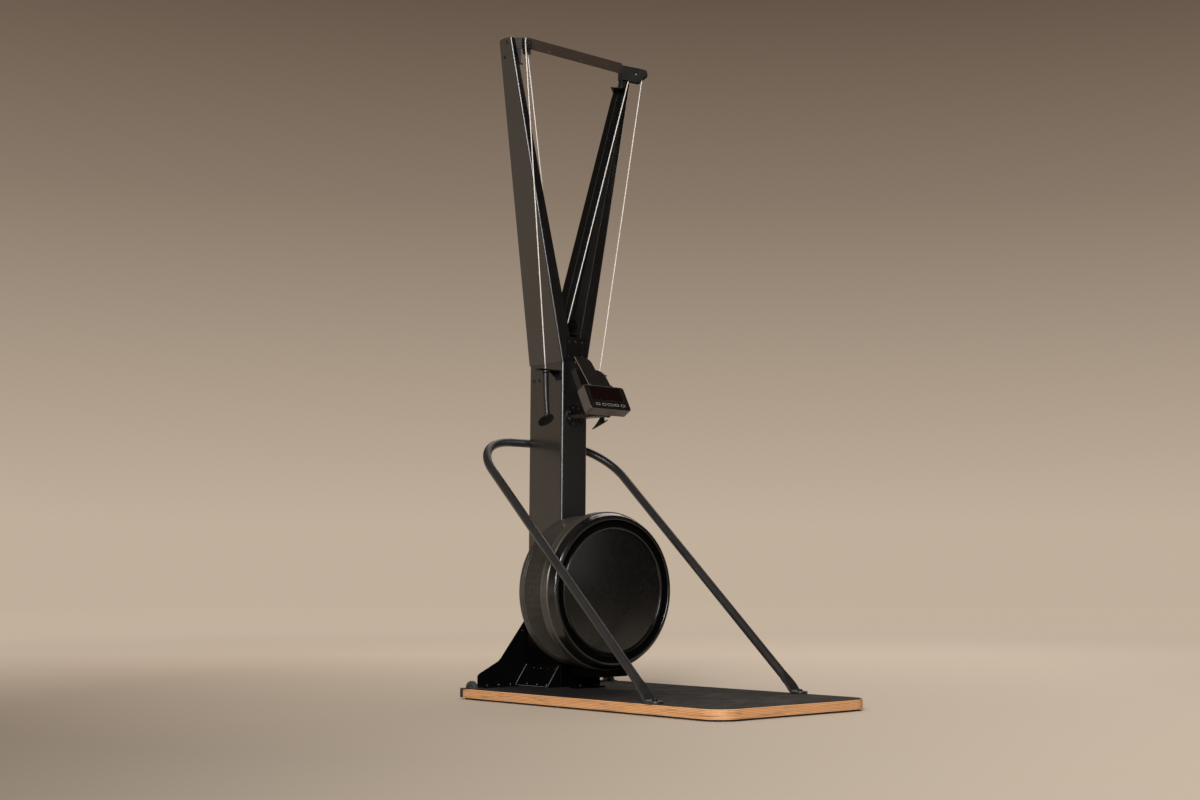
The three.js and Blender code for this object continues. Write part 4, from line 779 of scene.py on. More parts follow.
class TRAINER_OT_arms(bpy.types.Operator):
    """Two folded arm covers, the tapered box tubes inside them, their caps and the crossbar"""

    bl_idname = "trainer.arms"
    bl_label = "Arms"

    def execute(self, context):
        sizes, colours = context.scene.trainer_sizes, context.scene.trainer_colours
        paint = powder_coat("Arm paint", colours.frame_paint, 0.36, 1.0, 0.5, 0.6)
        dark = powder_coat("Arm spine paint", shade(colours.bracket_paint, 0.45), 0.5, 0.0, 0.18)
        low, high, soft = cover_outline(ARM_FOOT), cover_outline(ARM_TIP), 0.4 * MM
        cover = stacked([(inset(low, soft), ARM_FOOT), (low, ARM_FOOT + soft), (high, ARM_TIP - soft),
                         (inset(high, soft), ARM_TIP)])
        walls = [spine_outline(z, *wall) for wall in ((0, 3 * MM), (2.5 * MM, 1 * MM))
                 for z in (ARM_FOOT, SPINE_TOP)]
        spine = hollow(*walls, ARM_FOOT, SPINE_TOP, soft)
        for side, s in SIDES:
            show(f"cover_{side}", sided(cover, s), "base", paint, [f"arm_cover_{side}"])
            show(f"spine_{side}", sided(spine, s), "base", dark, [f"arm_spine_{side}"])
            softened(f"arm_cap_{side}", dark, sizes.broken_edge)
        # painted light: the crossbar is lighter than the frame for the light that falls on it
        bar = powder_coat("Crossbar painted light", colours.bar_painted_light, 0.62, 0.0, 0.2)
        softened("crossbar", bar, sizes.broken_edge)
        return {"FINISHED"}


# ---------------------------------------------------------------- ropes
def rope_outer_path():
    """Straight from where the rope leaves the top pulley to the handle in its dock."""
    outward = np.array((sin(SPLAY), -cos(SPLAY), 0.0))
    top = PULLEY_AT + outward * ROPE_BEND - (0, 0, ROPE_RADIUS / 2)
    return evenly([top, DOCK_ROPE], 0.05)


def rope_inner_path():
    """The arcs over the top pulley and round the guide pulley's inner side. The straight run that
    joins them, and the one down to the side of the spool, are added where the rope is built."""
    outward, up = np.array((sin(SPLAY), -cos(SPLAY), 0.0)), np.array((0.0, 0.0, 1.0))
    over = np.vstack([arc(PULLEY_AT, outward, up, ROPE_BEND, 9),
                      arc(PULLEY_AT, up, -outward, ROPE_BEND, 9)[1:]])
    lean = atan2(over[-1][0] - SPOOL_ROPE, over[-1][2] - GUIDE_AT[2])
    a = np.linspace(lean, 0, 6)
    bend = GUIDE_AT + GUIDE_BEND * np.stack([-np.cos(a), np.zeros(6), np.sin(a)], 1)
    return over, bend


class TRAINER_OT_ropes(bpy.types.Operator):
    """The pull ropes: from each handle up to its top pulley, and from there down to its spool"""

    bl_idname = "trainer.ropes"
    bl_label = "Ropes"

    def execute(self, context):
        colours = context.scene.trainer_colours
        finish = braid("Pull rope", colours.rope)
        over, bend = rope_inner_path()
        for side, s in SIDES:
            flip = np.array((s, 1, 1))
            spool = np.array((SPOOL_ROPE, SPOOL_Y[side], SHAFT_Z))
            runs = {"outer": rope_outer_path() * flip,
                    "inner": np.vstack([over, evenly([over[-1], bend[0]], 0.06)[1:-1], bend,
                                        evenly([bend[-1], spool], 0.06)[1:]]) * flip}
            for run, path in runs.items():
                skin = grid(carried(path, circle(ROPE_RADIUS, ROPE_SIDES), (0.37, 0.93, 0.05)))
                piece = show(f"rope_{run}_{side}_cord", skin, "base", finish,
                             [f"rope_{run}_{side}"], even=False)
                gaps = np.linalg.norm(np.diff(path, axis=0), axis=1)
                run_so_far = np.concatenate([[0], np.cumsum(gaps)])
                lengthwise_uv(piece.data, run_so_far, ROPE_SIDES, 2 * pi * ROPE_RADIUS)
                if run == "outer":
                    piece.parent = None
                    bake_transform(piece)
                gaps.sum()
        return {"FINISHED"}


# ---------------------------------------------------------------- top pulleys
def pulley_skin(radius, width, groove, bore, segments=56):
    """A round groove between two lips, a bossed middle and a shallow recess in each side."""
    w, lip = width / 2, 0.8 * MM
    half = [(bore, -w), (bore + 3 * MM, -w), (bore + 3.6 * MM, -w + 1.5 * MM),
            (groove - 3 * MM, -w + 1.5 * MM), (groove - 2 * MM, -w), (radius - 0.4 * MM, -w),
            (radius, -w + lip), (groove + 1.2 * MM, -1.9 * MM), (groove, 0)]
    profile = half + [(r, -h) for r, h in reversed(half[:-1])]
    return turned(profile, segments, 0.35 * MM, 2)


class TRAINER_OT_pulleys(bpy.types.Operator):
    """Top pulleys in their two-cheeked brackets, and the guide pulleys in the fork of the arms"""

    bl_idname = "trainer.pulleys"
    bl_label = "Pulleys"

    def execute(self, context):
        colours = context.scene.trainer_colours
        nylon = moulded("Pulley", (0.010, 0.0098, 0.0095), 0.42)
        paint = powder_coat("Pulley bracket paint", colours.pulley_paint, 0.68, 0.0, 0.16)
        steel = moulded("Axle nut", shade(colours.pulley_paint, 0.5), 0.4)
        heel, seat = 48.2 * MM, 0.2 * MM
        outline = mm([(48.2, 33), (-17.6, 18.5), (-37, 13), (-39, 0), (-36.3, -6), (-18.3, -20.4),
                            (-9, -30), (0, -30), (48.2, -16.8)])
        shape = rounded(outline, mm([2, 30, 7, 7, 6, 20, 8, 16, 2]), 5)
        across = PULLEY @ ALONG_X
        cheeks = plate(shape, -0.010, -0.007) + plate(shape, 0.007, 0.010)
        web = plate(rectangle(-0.0069, 0.0069, -0.0168, 0.033, 1 * MM, 2), -heel, -(heel - SHEET))
        web = web.moved(PULLEY @ ALONG_Y)
        nut = turned(mm([(9, 0), (9, 1), (7.4, 1.1), (7.4, 3.2), (6.4, 4), (1, 4)]), 6, closed=False)
        head = turned(mm([(8.4, 0), (8.4, 1.2), (5.4, 2.8), (1, 3.4)]), 32, closed=False)
        rod = turned(mm([(4, -7.2), (4, 7.2)]), 24, closed=False)
        flip = placed((1, 0, 0), (0, -1, 0), (0, 0, -1))
        axle = nut.moved(at(np.eye(4), (0, 0, 0.010))) + head.moved(at(flip, (0, 0, -0.010))) + rod
        # a darker copy of the pulley bracket paint: painted shade for the guide wheels in the fork's shade
        guide_painted_shade = moulded("Guide wheel", shade(colours.pulley_paint, 0.25), 0.7, gloss=0.08)
        wheel, guide = (
            pulley_skin(radius, width, bend - ROPE_RADIUS - seat, 4.3 * MM)
            for radius, width, bend in ((24 * MM, 12 * MM, ROPE_BEND), (19 * MM, 10 * MM, GUIDE_BEND)))
        wheel = wheel.moved(across)
        for side, s in SIDES:
            show(f"bracket_{side}", sided(cheeks.moved(across) + web, s), "base", paint,
                 [f"pulley_bracket_{side}"])
            show(f"axle_{side}", sided(axle.moved(across), s), "base", steel)
            in_fork = guide.moved(at(ALONG_Y, GUIDE_AT * (s, 1, 1)))
            for name, skin, node, finish in (("pulley", sided(wheel, s), f"top_pulley_{side}", nylon),
                                             ("guide", in_fork, f"guide_pulley_{side}", guide_painted_shade)):
                show(f"{name}_{side}", skin, node, finish, [node])
        for spool in ("spool_right", "spool_left"):
            painted(spool, nylon)
        return {"FINISHED"}


# ---------------------------------------------------------------- handles and docks
def handle_skin():
    """Rings stacked down a stem that bows by 12 mm times the square of the way down, then opened
    out by the power 2.4 to an oval 64 by 50 mm whose plane turns to a slope of 32 degrees. The rim
    is a half round, and the face inside it is a shallow dish that rises by 2.6 mm towards its
    middle. Local z runs down the rope's line."""
    top, bottom, sides, stem, flare, dish = 1.0537, 0.9197, 44, 22, 24, 13
    thin, wide_end, long_end, bow, back = 8.8 * MM, 25 * MM, 32 * MM, 12 * MM, 8 * MM
    s = np.linspace(0, 0.96, stem)
    radius = np.interp(s, [0, 0.03, 0.5, 0.85, 1], mm([10.2, 10.6, 9.4, 8.8, 8.8]))
    flared = np.linspace(0, 1, flare + 1)[1:]
    u = np.concatenate([np.zeros(stem), flared, np.ones(dish)])
    opened = u[stem:] ** 2.4
    wide, long = (np.concatenate([radius, thin + (end - thin) * opened]) for end in (wide_end, long_end))
    slope = radians(32) * u * u * (3 - 2 * u)
    a, lip = np.linspace(0, pi, 8)[1:], 1.2 * MM
    inwards = np.concatenate([lip * (1 - np.sin(a)), mm([2.4, 4, 7, 12, 18, 24])])
    under = np.concatenate([lip * (1 - np.cos(a)), mm([2.3, 1.9, 1.3, 0.5, 0.0, -0.2])])
    long[-dish:] -= inwards
    wide[-dish:] *= long[-dish:] / long_end
    middle_y = np.concatenate([-bow * s**2, -bow + back * flared, np.full(dish, back - bow)])
    middle_z = np.concatenate([top + (bottom - top) * s, bottom - 0.3 * MM - 21.5 * MM * flared,
                               np.full(dish, bottom - 21.8 * MM)])
    middle_y[-dish:] -= under * np.sin(slope[-dish:])
    middle_z[-dish:] -= under * np.cos(slope[-dish:])
    t = np.linspace(0, 2 * pi, sides, endpoint=False)[None]
    along = long[:, None] * np.sin(t)
    rings = [wide[:, None] * np.cos(t), middle_y[:, None] + along * np.cos(slope)[:, None],
             middle_z[:, None] - along * np.sin(slope)[:, None]]
    return grid(np.stack(rings, -1))


class TRAINER_OT_handles(bpy.types.Operator):
    """Handles with their collars, and the docks that they hang under"""

    bl_idname = "trainer.handles"
    bl_label = "Handles"

    def execute(self, context):
        sizes, colours = context.scene.trainer_sizes, context.scene.trainer_colours
        grip = moulded("Handle grip", colours.handle, 0.44, 1600, 0.00002, 0.1, 0.4)
        collar_finish = moulded("Handle collar", shade(colours.handle, 1.4), 0.35)
        paint = powder_coat("Dock paint", shade(colours.bracket_paint, 0.7), 0.44, 0.0, 0.2)
        skin = handle_skin()
        collar = turned(mm([(2.2, 1052.6), (12.4, 1052.6), (12.4, 1059.4), (2.2, 1059.4)]), 40,
                        mm([0.3, 1.6, 1.6, 0.6]), 4)
        for side, s, hang in (("right", 1, radians(67)), ("left", -1, radians(-5))):
            turn = placed((cos(hang), sin(hang), 0), (-sin(hang), cos(hang), 0), (0, 0, 1),
                          (s * DOCK_ROPE[0], DOCK_ROPE[1], 0))
            body = f"handle_{side}"
            show(f"{body}_grip", skin.moved(turn), body, grip,
                 [f"handle_grip_{side}", f"handle_end_{side}"])
            show(f"{body}_collar", collar.moved(turn), body, collar_finish)
            softened(f"dock_{side}", paint, sizes.broken_edge)
        return {"FINISHED"}


# ---------------------------------------------------------------- drum
def slat_ring(count, width, inner, outer, low, high):
    """Blocks standing round the axis. The four corners of one block's section lie at the angle
    +-width / (2 r) from its middle, at both radii, and are turned by every block's own angle."""
    middle = np.arange(count)[:, None] * 2 * pi / count
    r = np.array([inner, outer, outer, inner])
    a = middle + np.array([-1, -1, 1, 1]) * width / (2 * r)
    ring = np.stack([r * np.cos(a), r * np.sin(a)], -1)
    table = np.concatenate([np.dstack([ring, np.full(a.shape, z)]) for z in (low, high)], 1)
    block = np.array([(0, 1, 5, 4), (1, 2, 6, 5), (2, 3, 7, 6), (3, 0, 4, 7), (3, 2, 1, 0), (4, 5, 6, 7)])
    quads = (block[None] + 8 * np.arange(count)[:, None, None]).reshape(-1, 4)
    return Skin(table.reshape(-1, 3), quads).facing_out()


def drum_part(profile, soft, segments, steps):
    """A profile in millimetres, radius and distance in front of the mast, turned about the shaft."""
    return turned(mm(profile), segments, mm(soft), steps).moved(DRUM)


class TRAINER_OT_drum(bpy.types.Operator):
    """Fan drum: hub, housing, slatted band, front ring, glossy cover and shallow disc"""

    bl_idname = "trainer.drum"
    bl_label = "Drum"

    def execute(self, context):
        sizes, colours = context.scene.trainer_sizes, context.scene.trainer_colours
        shell = moulded("Drum shell", shade(colours.drum, 2.2), 0.44, 900, 0.00005, 0.5)
        slats = moulded("Drum slats", shade(colours.drum, 1.8), 0.40, 900, 0.0001, 1.0)
        gloss = moulded("Drum cover", colours.drum_face, 0.2, 1500, 0.00003, 0.8)
        face = moulded("Drum disc", shade(colours.drum_face, 0.6), 0.22, 1300, 0.00003, 0.3)
        paint = powder_coat("Hub paint", colours.bracket_paint, 0.45)
        # black matte ring in the groove between cover and disc: a painted shade for the shadow in the deep
        # groove
        black = moulded("Groove painted shade", (0.0008, 0.0008, 0.0008), 0.7, gloss=0.03)
        # name, node, finish, slot, segments, steps, profile and the radii of its corners
        for name, node, finish, slot, segments, steps, profile, soft in (
                ("hub", ["drum_hub"], paint, "black_paint", 72, 4,
                 [(10.3, 0.3), (62, 0.3), (62, 3.8), (34, 7.3), (34, 19.7), (10.3, 19.7)],
                 [0.4, 0.6, 0.8, 4, 0.8, 0.4]),
                ("housing", ["drum_housing"], shell, "drum_plastic", 128, 4,
                 [(10.3, 20), (233, 20), (240, 27), (240, 43), (236.5, 43), (236.5, 27), (229.5, 23.5),
                  (10.3, 23.5)], [0.4, 8, 5, 0.8, 0.8, 4, 5, 0.4]),
                ("ring", ["front_ring"], shell, "drum_plastic", 160, 4,
                 [(234.5, 146.3), (248.5, 146.3), (252, 149.8), (252, 156), (250.6, 158), (250.6, 171),
                  (252, 173), (252, 179.5), (248.5, 183), (234.5, 183)],
                 [0.8, 2, 3, 1, 0.8, 0.8, 1, 4, 2, 0.8]),
                ("cover", ["front_cover"], gloss, "drum_gloss", 160, 5,
                 [(201.4, 183.3), (248, 183.3), (246, 190.3), (239.5, 206), (233.6, 210), (226, 210),
                  (222.5, 199), (208.4, 199), (204.9, 199), (204.9, 195.5), (201.4, 195.5)],
                 [0.5, 1.4, 12, 8, 3, 2.5, 2, 0.3, 0.5, 0.3, 0.3]),
                ("groove_painted_shade", (), black, "drum_gloss", 160, 1,
                 [(206, 199.1), (222.2, 199.1), (225.4, 208.9), (224.8, 209), (221.7, 199.7), (206, 199.7)],
                 0.1)):
            show(name, drum_part(profile, soft, segments, steps), "base", finish, node)
        hoops = [(234.5, 238, 43.3, 50, 0.7, 4), (234.5, 238, 139.5, 146, 0.7, 4)]
        hoops += [(232.8, 235.2, height - 1, height + 1, 0.3, 1) for height in np.arange(1, 9) * 10.0 + 49.8]
        band = together(drum_part([(r0, z0), (r1, z0), (r1, z1), (r0, z1)], soft, 128, steps)
                        for r0, r1, z0, z1, soft, steps in hoops)
        band += slat_ring(sizes.slats, sizes.slat_width, 0.2345, 0.2372, 0.0498, 0.1397).moved(DRUM)
        show("slat_band", band, "base", slats, ["vent_band"])
        r = np.linspace(0.6, 192, 24)
        lip = rounded([(194, 202.4), (196.5, 206.4), (201.6, 208.6), (204.6, 204.6), (204.6, 195.8),
                       (197, 196.2)], [1.5, 2, 2, 2.5, 0.5, 0.5], 4)
        profile = np.vstack([np.column_stack([r, 207.2 - 5 * (r / 192) ** 2]), lip,
                             [(26.2, 202.5), (26, 176.5), (10.5, 176.5), (10.5, 202.4), (0.6, 202.4)]])
        disc = turned(profile * MM, 160, closed=False).moved(DRUM)
        show("disc", disc, "base", face, ["front_disc"])
        painted("fan_rotor", metal("Rotor", (0.18, 0.18, 0.185), 0.45, (40, 40, 900)))
        return {"FINISHED"}


# ---------------------------------------------------------------- brackets and bolts
class TRAINER_OT_brackets(bpy.types.Operator):
    """Folded plates at the mast's foot and the cradle under the drum"""

    bl_idname = "trainer.brackets"
    bl_label = "Brackets"

    def edges(self):
        """Painted highlights on the slanted edges of the side brackets' end gussets and on the outer edge
        of their flanges: pale strips 0.3 mm proud of the cut faces."""
        low, high = np.array((RIB_FOOT, 0, DECK + 4 * MM)), np.array((RIB_HEAD, 0, DECK + 69 * MM))
        reach, half = np.linalg.norm(high - low), RIB_SHEET / 2
        along = (high - low) / reach
        out = np.array((along[2], 0, -along[0]))
        strip = box(2 * MM, reach - 1 * MM, 0.4 * MM - half, half - 0.4 * MM, 0.05 * MM, 0.3 * MM, 0.1 * MM)
        strips = [strip.moved(placed(along, (0, 1, 0), out, low + (0, y, 0)))
                  for y in (RIB_ENDS[0] + half, RIB_ENDS[1] - half)]
        strips.append(box(RIB_FOOT + 0.05 * MM, RIB_FOOT + 0.3 * MM, 0.0, RIB_ENDS[1] - 2 * MM,
                          DECK + 2.2 * MM, DECK + 3.6 * MM, 0.1 * MM))
        both = together(strips)
        # pale strips: a painted highlight where the edges catch the light
        edge_highlight = powder_coat("Painted edge highlight", (0.12, 0.118, 0.112), 0.5, 0.0, 0.4)
        show("bracket_edge_highlights", both + mirrored(both), "base", edge_highlight)

    def execute(self, context):
        sizes, colours = context.scene.trainer_sizes, context.scene.trainer_colours
        paint = powder_coat("Foot bracket paint", shade(colours.bracket_paint, 0.6), 0.42, 0.0, 0.10)
        for node in ("rear_gusset", "mast_bracket_right", "mast_bracket_left"):
            softened(node, paint, sizes.broken_edge)
        self.edges()
        # a darker copy of the bracket paint: painted shade for the shadow under the drum
        dull = powder_coat("Cradle paint", shade(colours.bracket_paint, 0.3), 0.6, 0.0, 0.03)
        softened("drum_cradle", dull, sizes.broken_edge)
        return {"FINISHED"}


def mirror_pairs(spots):
    """Each place and direction, and the same on the other side of the machine."""
    flip = np.array((-1.0, 1.0, 1.0))
    return [pair for p, n in spots for pair in ((p, n), (np.array(p) * flip, np.array(n) * flip))]


class TRAINER_OT_bolts(bpy.types.Operator):
    """Socket heads on every bolted joint"""

    bl_idname = "trainer.bolts"
    bl_label = "Bolts"

    def execute(self, context):
        sizes = context.scene.trainer_sizes
        zinc = metal("Bolt black", (0.055, 0.055, 0.057), 0.26)
        up, back, out, front = (0, 0, 1), (0, 1, 0), (1, 0, 0), (0, -1, 0)
        large = [((0.030, -0.077, 0.0403), up), ((0.030, 0.1823, 0.2403), back)]
        large += [((x, 0.1563, 0.0393), up) for x in (0.2264, 0.1803, 0.1342)]
        large += [((0.0804, y, 0.0393), up) for y in (0.034, 0.086, 0.138)]
        small = [((0.070, 0.1783, 0.2123), front)] + [((0.0096, 0.1823, z), back) for z in (0.812, 0.858)]
        small += [((0.0574, y, 0.0913), out) for y in (0.022, 0.059, 0.096, 0.133)]
        small += [((MAST_HALF, y, 1.040), out) for y in (0.153, 0.123)]
        small += [((0.2589, 0.0443, 2.130), out), ((0.2504, 0.0692, 2.087), out)]
        small += [((0.029, -0.0033, z), front) for z in (1.162, 1.114)]
        round_flange = [(np.array((0.027 * cos(a), -0.0063, 0.917 + 0.027 * sin(a))), front)
                        for a in (np.arange(8) + 0.5) * pi / 4]
        small = mirror_pairs(small) + [((0, -0.0033, 1.162), front)] + round_flange
        for name, spots, head, height, washer, sides in (
                ("large_bolts", mirror_pairs(large), sizes.bolt_head, 5 * MM, 3 * MM, 20),
                ("small_bolts", small, sizes.small_head, 3.2 * MM, 1.6 * MM, 16)):
            heads = together(bolt(p, n, head, height, head + washer, sides) for p, n in spots)
            show(name, heads, "base", zinc)
        return {"FINISHED"}


# ---------------------------------------------------------------- brace
LEG = unit(FOOT - CORNER)
AHEAD = unit((LEG[0], LEG[1], 0))


def brace_path():
    """Half the tube's middle line in parts: along the hoop, round the corner on an arc, down the
    leg, the pressed neck, one cubic to the flat foot, the strap, its round end and its tip."""
    across = np.array((1.0, 0.0, 0.0))
    reach = TUBE_BEND * tan(np.arccos(across @ LEG) / 2)
    start, end = CORNER - across * reach, CORNER + LEG * reach
    centre = start + TUBE_BEND * unit(LEG - across * (across @ LEG))
    corner = arc(centre, start - centre, end - centre, TUBE_BEND, 17)
    neck, knee = FOOT - 62 * MM * LEG, np.array((FOOT[0], FOOT[1], DECK + STRAP_THICK))
    press, flat, end = neck + 38.4 * MM * LEG, knee + 16 * MM * AHEAD, knee + 50 * MM * AHEAD
    t = np.linspace(0, 1, 12)[1:, None]
    b, c = press + 22 * MM * LEG, flat - 16 * MM * AHEAD
    cubic = (1 - t) ** 3 * press + 3 * t * (1 - t) ** 2 * b + 3 * t**2 * (1 - t) * c + t**3 * flat
    hoop = evenly([(0.0, CORNER[1], CORNER[2]), start], 0.02)[:-1]
    leg = evenly([corner[-1], neck], 0.04)[1:]
    pressed = evenly([neck, press], 0.005)[1:]
    straight = end - 22.5 * MM * AHEAD
    strap = evenly([flat, straight], 0.006)[1:]
    turn_in = straight + 22.5 * MM * np.sin(np.linspace(0, pi / 2, 9)[1:-1])[:, None] * AHEAD
    return hoop, corner, leg, pressed, cubic, strap, turn_in, [end - 0.5 * MM * AHEAD, end]


def brace_skin():
    """Round sections along the tube. Between the neck and the press they pass from its circle to a
    squarish 44 by 11 mm, then to a strap 44 by 8 mm, whose end is a half round in plan."""
    parts, n, pressed = brace_path(), 40, 5.6 * MM
    whole, before = np.vstack(parts), sum(len(part) for part in parts[:3])
    e = np.linspace(0, 1, len(parts[3]) + 1)[1:]
    e = e * e * (3 - 2 * e)
    t = np.linspace(0, 1, len(parts[4]))
    a = np.linspace(0, pi / 2, len(parts[6]) + 2)[1:-1]
    straight = np.full(len(parts[5]), STRAP_HALF)
    wider, thinner = (TUBE_RADIUS + (end - TUBE_RADIUS) * e for end in (STRAP_HALF, pressed))
    sizes = [(wider, thinner, 2 + 3 * e), (STRAP_HALF, pressed - (pressed - STRAP_THICK) * t, 5 + 5 * t),
             (straight, STRAP_THICK, 10),
             (STRAP_HALF * np.cos(a), STRAP_THICK, 10 - 4 * a), (mm((4.2, 3)), mm((4, 3.2)), 4)]
    rings = [squarish(TUBE_RADIUS, TUBE_RADIUS, 2, n)] * before
    rings += [squarish(*row, n) for part in sizes for row in zip(*np.broadcast_arrays(*part))]
    # on the hoop and the leg a section starts in the legs' plane, and at the foot it lies level
    table = carried(whole[:before], np.array(rings[:before]), unit(np.cross((1, 0, 0), LEG)))
    foot = carried(whole[before - 2:], np.array(rings[before - 2:]), unit(np.cross((0, 0, 1), LEG)))[2:]
    # the foot's rings are turned by the number of quarters that brings them nearest to the leg's
    away = [np.abs(np.roll(foot[0], k * n // 4, 0) - table[-1]).sum() for k in range(4)]
    half = np.vstack([table, np.roll(foot, int(np.argmin(away)) * n // 4, 1)])
    half[..., 2] = np.where(half[..., 1] < -0.6, np.maximum(half[..., 2], DECK), half[..., 2])
    return grid(np.vstack([(half[::-1] * (-1.0, 1.0, 1.0))[:-1], half]))


class TRAINER_OT_brace(bpy.types.Operator):
    """Bent brace tube with flattened feet, its clamp on the mast and its foot bolts"""

    bl_idname = "trainer.brace"
    bl_label = "Brace"

    def execute(self, context):
        sizes, colours = context.scene.trainer_sizes, context.scene.trainer_colours
        paint = powder_coat("Brace paint", colours.brace_paint, 0.42, 0.5, 0.4, 0.3)
        show("brace", brace_skin(), "base", paint, ["brace_tube"])
        softened("brace_clamp", powder_coat("Clamp paint", colours.bracket_paint, 0.45), sizes.broken_edge)
        spot = np.array((FOOT[0], FOOT[1], DECK + 2 * STRAP_THICK)) + 26 * MM * AHEAD
        heads = together(bolt(p, n, 7.5 * MM, 6 * MM, 11 * MM) for p, n in mirror_pairs([(spot, (0, 0, 1))]))
        show("foot_bolts", heads, "base", metal("Foot bolt", (0.03, 0.03, 0.03), 0.35))
        return {"FINISHED"}


# ---------------------------------------------------------------- console
def faced(skin):
    """A surface drawn on the console's face: local z runs out of the face."""
    return skin.moved(ALONG_Y).moved(CONSOLE)


def on_face(outline, near, far, soft=0.4 * MM):
    """A plate whose outline is drawn on the console's face, from a depth to a further one."""
    return faced(plate(outline, -far, -near, soft))


class TRAINER_OT_console(bpy.types.Operator):
    """Console case, its window, keys, top button, back plate, phone rest, clamp and arm"""

    bl_idname = "trainer.console"
    bl_label = "Console"

    def rest_with_painted_highlight(self):
        """Dark brown plastic with a painted highlight: within a millimetre of the plane of its left edge, the
        colour turns paler brown.
        """
        f = Finish("Phone rest plate", DARK_BROWN, 0.5, Specular_IOR_Level=0.16)
        # painted highlight: a paler strip along the left edge, where the light catches it
        edge = f.spread(f.axis(0), 1, 0, REST_LEFT + 0.0009, REST_LEFT + 0.0014)
        f.colour(f.mixed(edge, DARK_BROWN, (0.12, 0.094, 0.070)))
        f.rough(f.spread(f.noise(90, 4), 0.46, 0.56))
        f.relief(f.noise(1500, 2), 0.00005, 0.7)
        return f.material

    def case_finish(self, colours):
        """Satin brown sides and a dark film on the face: what lies within 0.8 mm of the face's
        plane, measured along its normal, is film."""
        f = Finish("Console case", colours.case, 0.36, Coat_Weight=0.3, Coat_Roughness=0.2)
        normal = Vector((0, -cos(TILT), sin(TILT)))
        ahead = f.along(f.coordinates(), normal)
        film = f.sum("GREATER_THAN", ahead, normal.dot(Vector(FACE_AT)) - 0.8 * MM)
        side = f.clouds(colours.case, 0.85, 1.15, 8)
        f.colour(f.mixed(film, side, shade(colours.console, 0.8)))
        f.relief(f.noise(1500, 2), 0.00005, 0.7)
        return f.material

    def execute(self, context):
        sizes, colours = context.scene.trainer_sizes, context.scene.trainer_colours
        shell = moulded("Console shell", colours.console, 0.34, 1500, 0.00005)
        rubber = black_rubber("Key", shade(colours.console, 0.8), 0.55)
        rim = moulded("Key rim", colours.key, 0.5)
        outer, inner = (rectangle(-x, x, low, high, r) for x, low, high, r in
                        ((0.072, 0.0065, 0.0885, 0.007), (0.0697, 0.0088, 0.0862, 0.0047)))
        bezel = faced(hollow(outer, outer, inner, inner, -0.6 * MM, 0.9 * MM, 0.4 * MM))
        show("bezel", bezel, "console", shell)
        window = on_face(rectangle(-0.064, 0.064, 0.034, 0.084, 0.002), 0.5 * MM, 2.0 * MM)
        glass = black_glass("Console window", colours.window)
        show("window", window, "console", glass, ["console_screen"])
        for i, name in enumerate(("far_left", "left", "centre", "right", "far_right")):
            x, half = 0.026 * (i - 2), 0.012 if name == "centre" else 0.008
            outer = rectangle(x - half, x + half, 0.012, 0.021, 0.0022, 4)
            cap = on_face(outer, -1.4 * MM, 4 * MM, 0.6 * MM)
            show(f"key_{name}_cap", cap, f"key_{name}", rubber, [f"key_{name}"])
            a, b = inset(outer, 0.1 * MM), inset(outer, 1.2 * MM)
            line = faced(hollow(a, a, b, b, 1.2 * MM, 1.7 * MM, 0.1 * MM))
            show(f"key_{name}_rim", line, f"key_{name}", rim)
        knob = turned(mm([(0.4, 90), (4.6, 90), (4.6, 94), (3.6, 95), (0.4, 95)]), 32, closed=False)
        knob = knob.moved(at(np.eye(4), (0.045, 0.014, 0))).moved(CONSOLE)
        show("top_knob", knob, "top_button", rubber, ["top_button"])
        clamp = moulded("Phone clamp", DARK_BROWN, 0.5, 1500, 0.00005, 0.0, 0.16)
        for node, finish, broken, body in (
                ("console_case", self.case_finish(colours), 4.0 * MM, "console"),
                ("back_plate", shell, sizes.broken_edge, "console"),
                ("phone_rest", self.rest_with_painted_highlight(), 1.2 * MM, "console"),
                ("phone_clamp", clamp, sizes.broken_edge, "phone_clamp")):
            softened(node, finish, broken, body)
        arm_paint = powder_coat("Console arm paint", colours.bracket_paint, 0.36, 0.2, 0.35)
        softened("console_arm", arm_paint, sizes.broken_edge)
        return {"FINISHED"}


# ---------------------------------------------------------------- stage
HORIZON = (0.53, 0.43, 0.33)
SKY = ((0.0, HORIZON), (0.03, HORIZON), (0.12, (0.40, 0.318, 0.242)), (0.22, (0.25, 0.19, 0.141)),
       (0.34, (0.12, 0.084, 0.06)), (0.6, (0.085, 0.058, 0.040)))
# the floor's colour, from the camera outwards, at the left and at the right of the machine: a painted shade,
# darkest near the camera at the left where the machine's shadow falls, and a painted light, brighter at the
# right
FLOOR_PAINTED_LIGHT_AND_SHADE = (((0.05, 0.037, 0.027), (0.78, 0.62, 0.465)), ((0.50, 0.415, 0.32), (0.88, 0.735, 0.57)))
TO_RIGHT, OUTWARDS, FROM_ROOM = (0.724, -0.69, 0), (0.69, 0.724, 0), (-0.17, 0.985, 0)
# name, place, target, width, height, power, colour
LAMPS = (
    ("Key", (-5.4, -5.4, 3.6), (0, 0, 0.8), 4.2, 3.1, 560, (1.0, 0.96, 0.91)),
    ("Tall strip", (-3.1, -3.4, 2.0), (0, 0, 1.6), 0.30, 3.6, 90, (0.88, 0.94, 1.0)),
    ("Front fill", (2.0, -4.0, 0.9), (0, -0.2, 0.4), 1.2, 1.0, 2, (1.0, 0.96, 0.9)),
    ("Back", (3.6, 3.0, 4.6), (0, -0.3, 0.3), 4.5, 4.5, 75, (1.0, 0.94, 0.87)),
)
EYE, AIM, LENS, SHIFT = (-3.4214, -4.2834, 0.3921), (95.0089, 0, -43.6157), 50.01, (-0.100, 0.025)


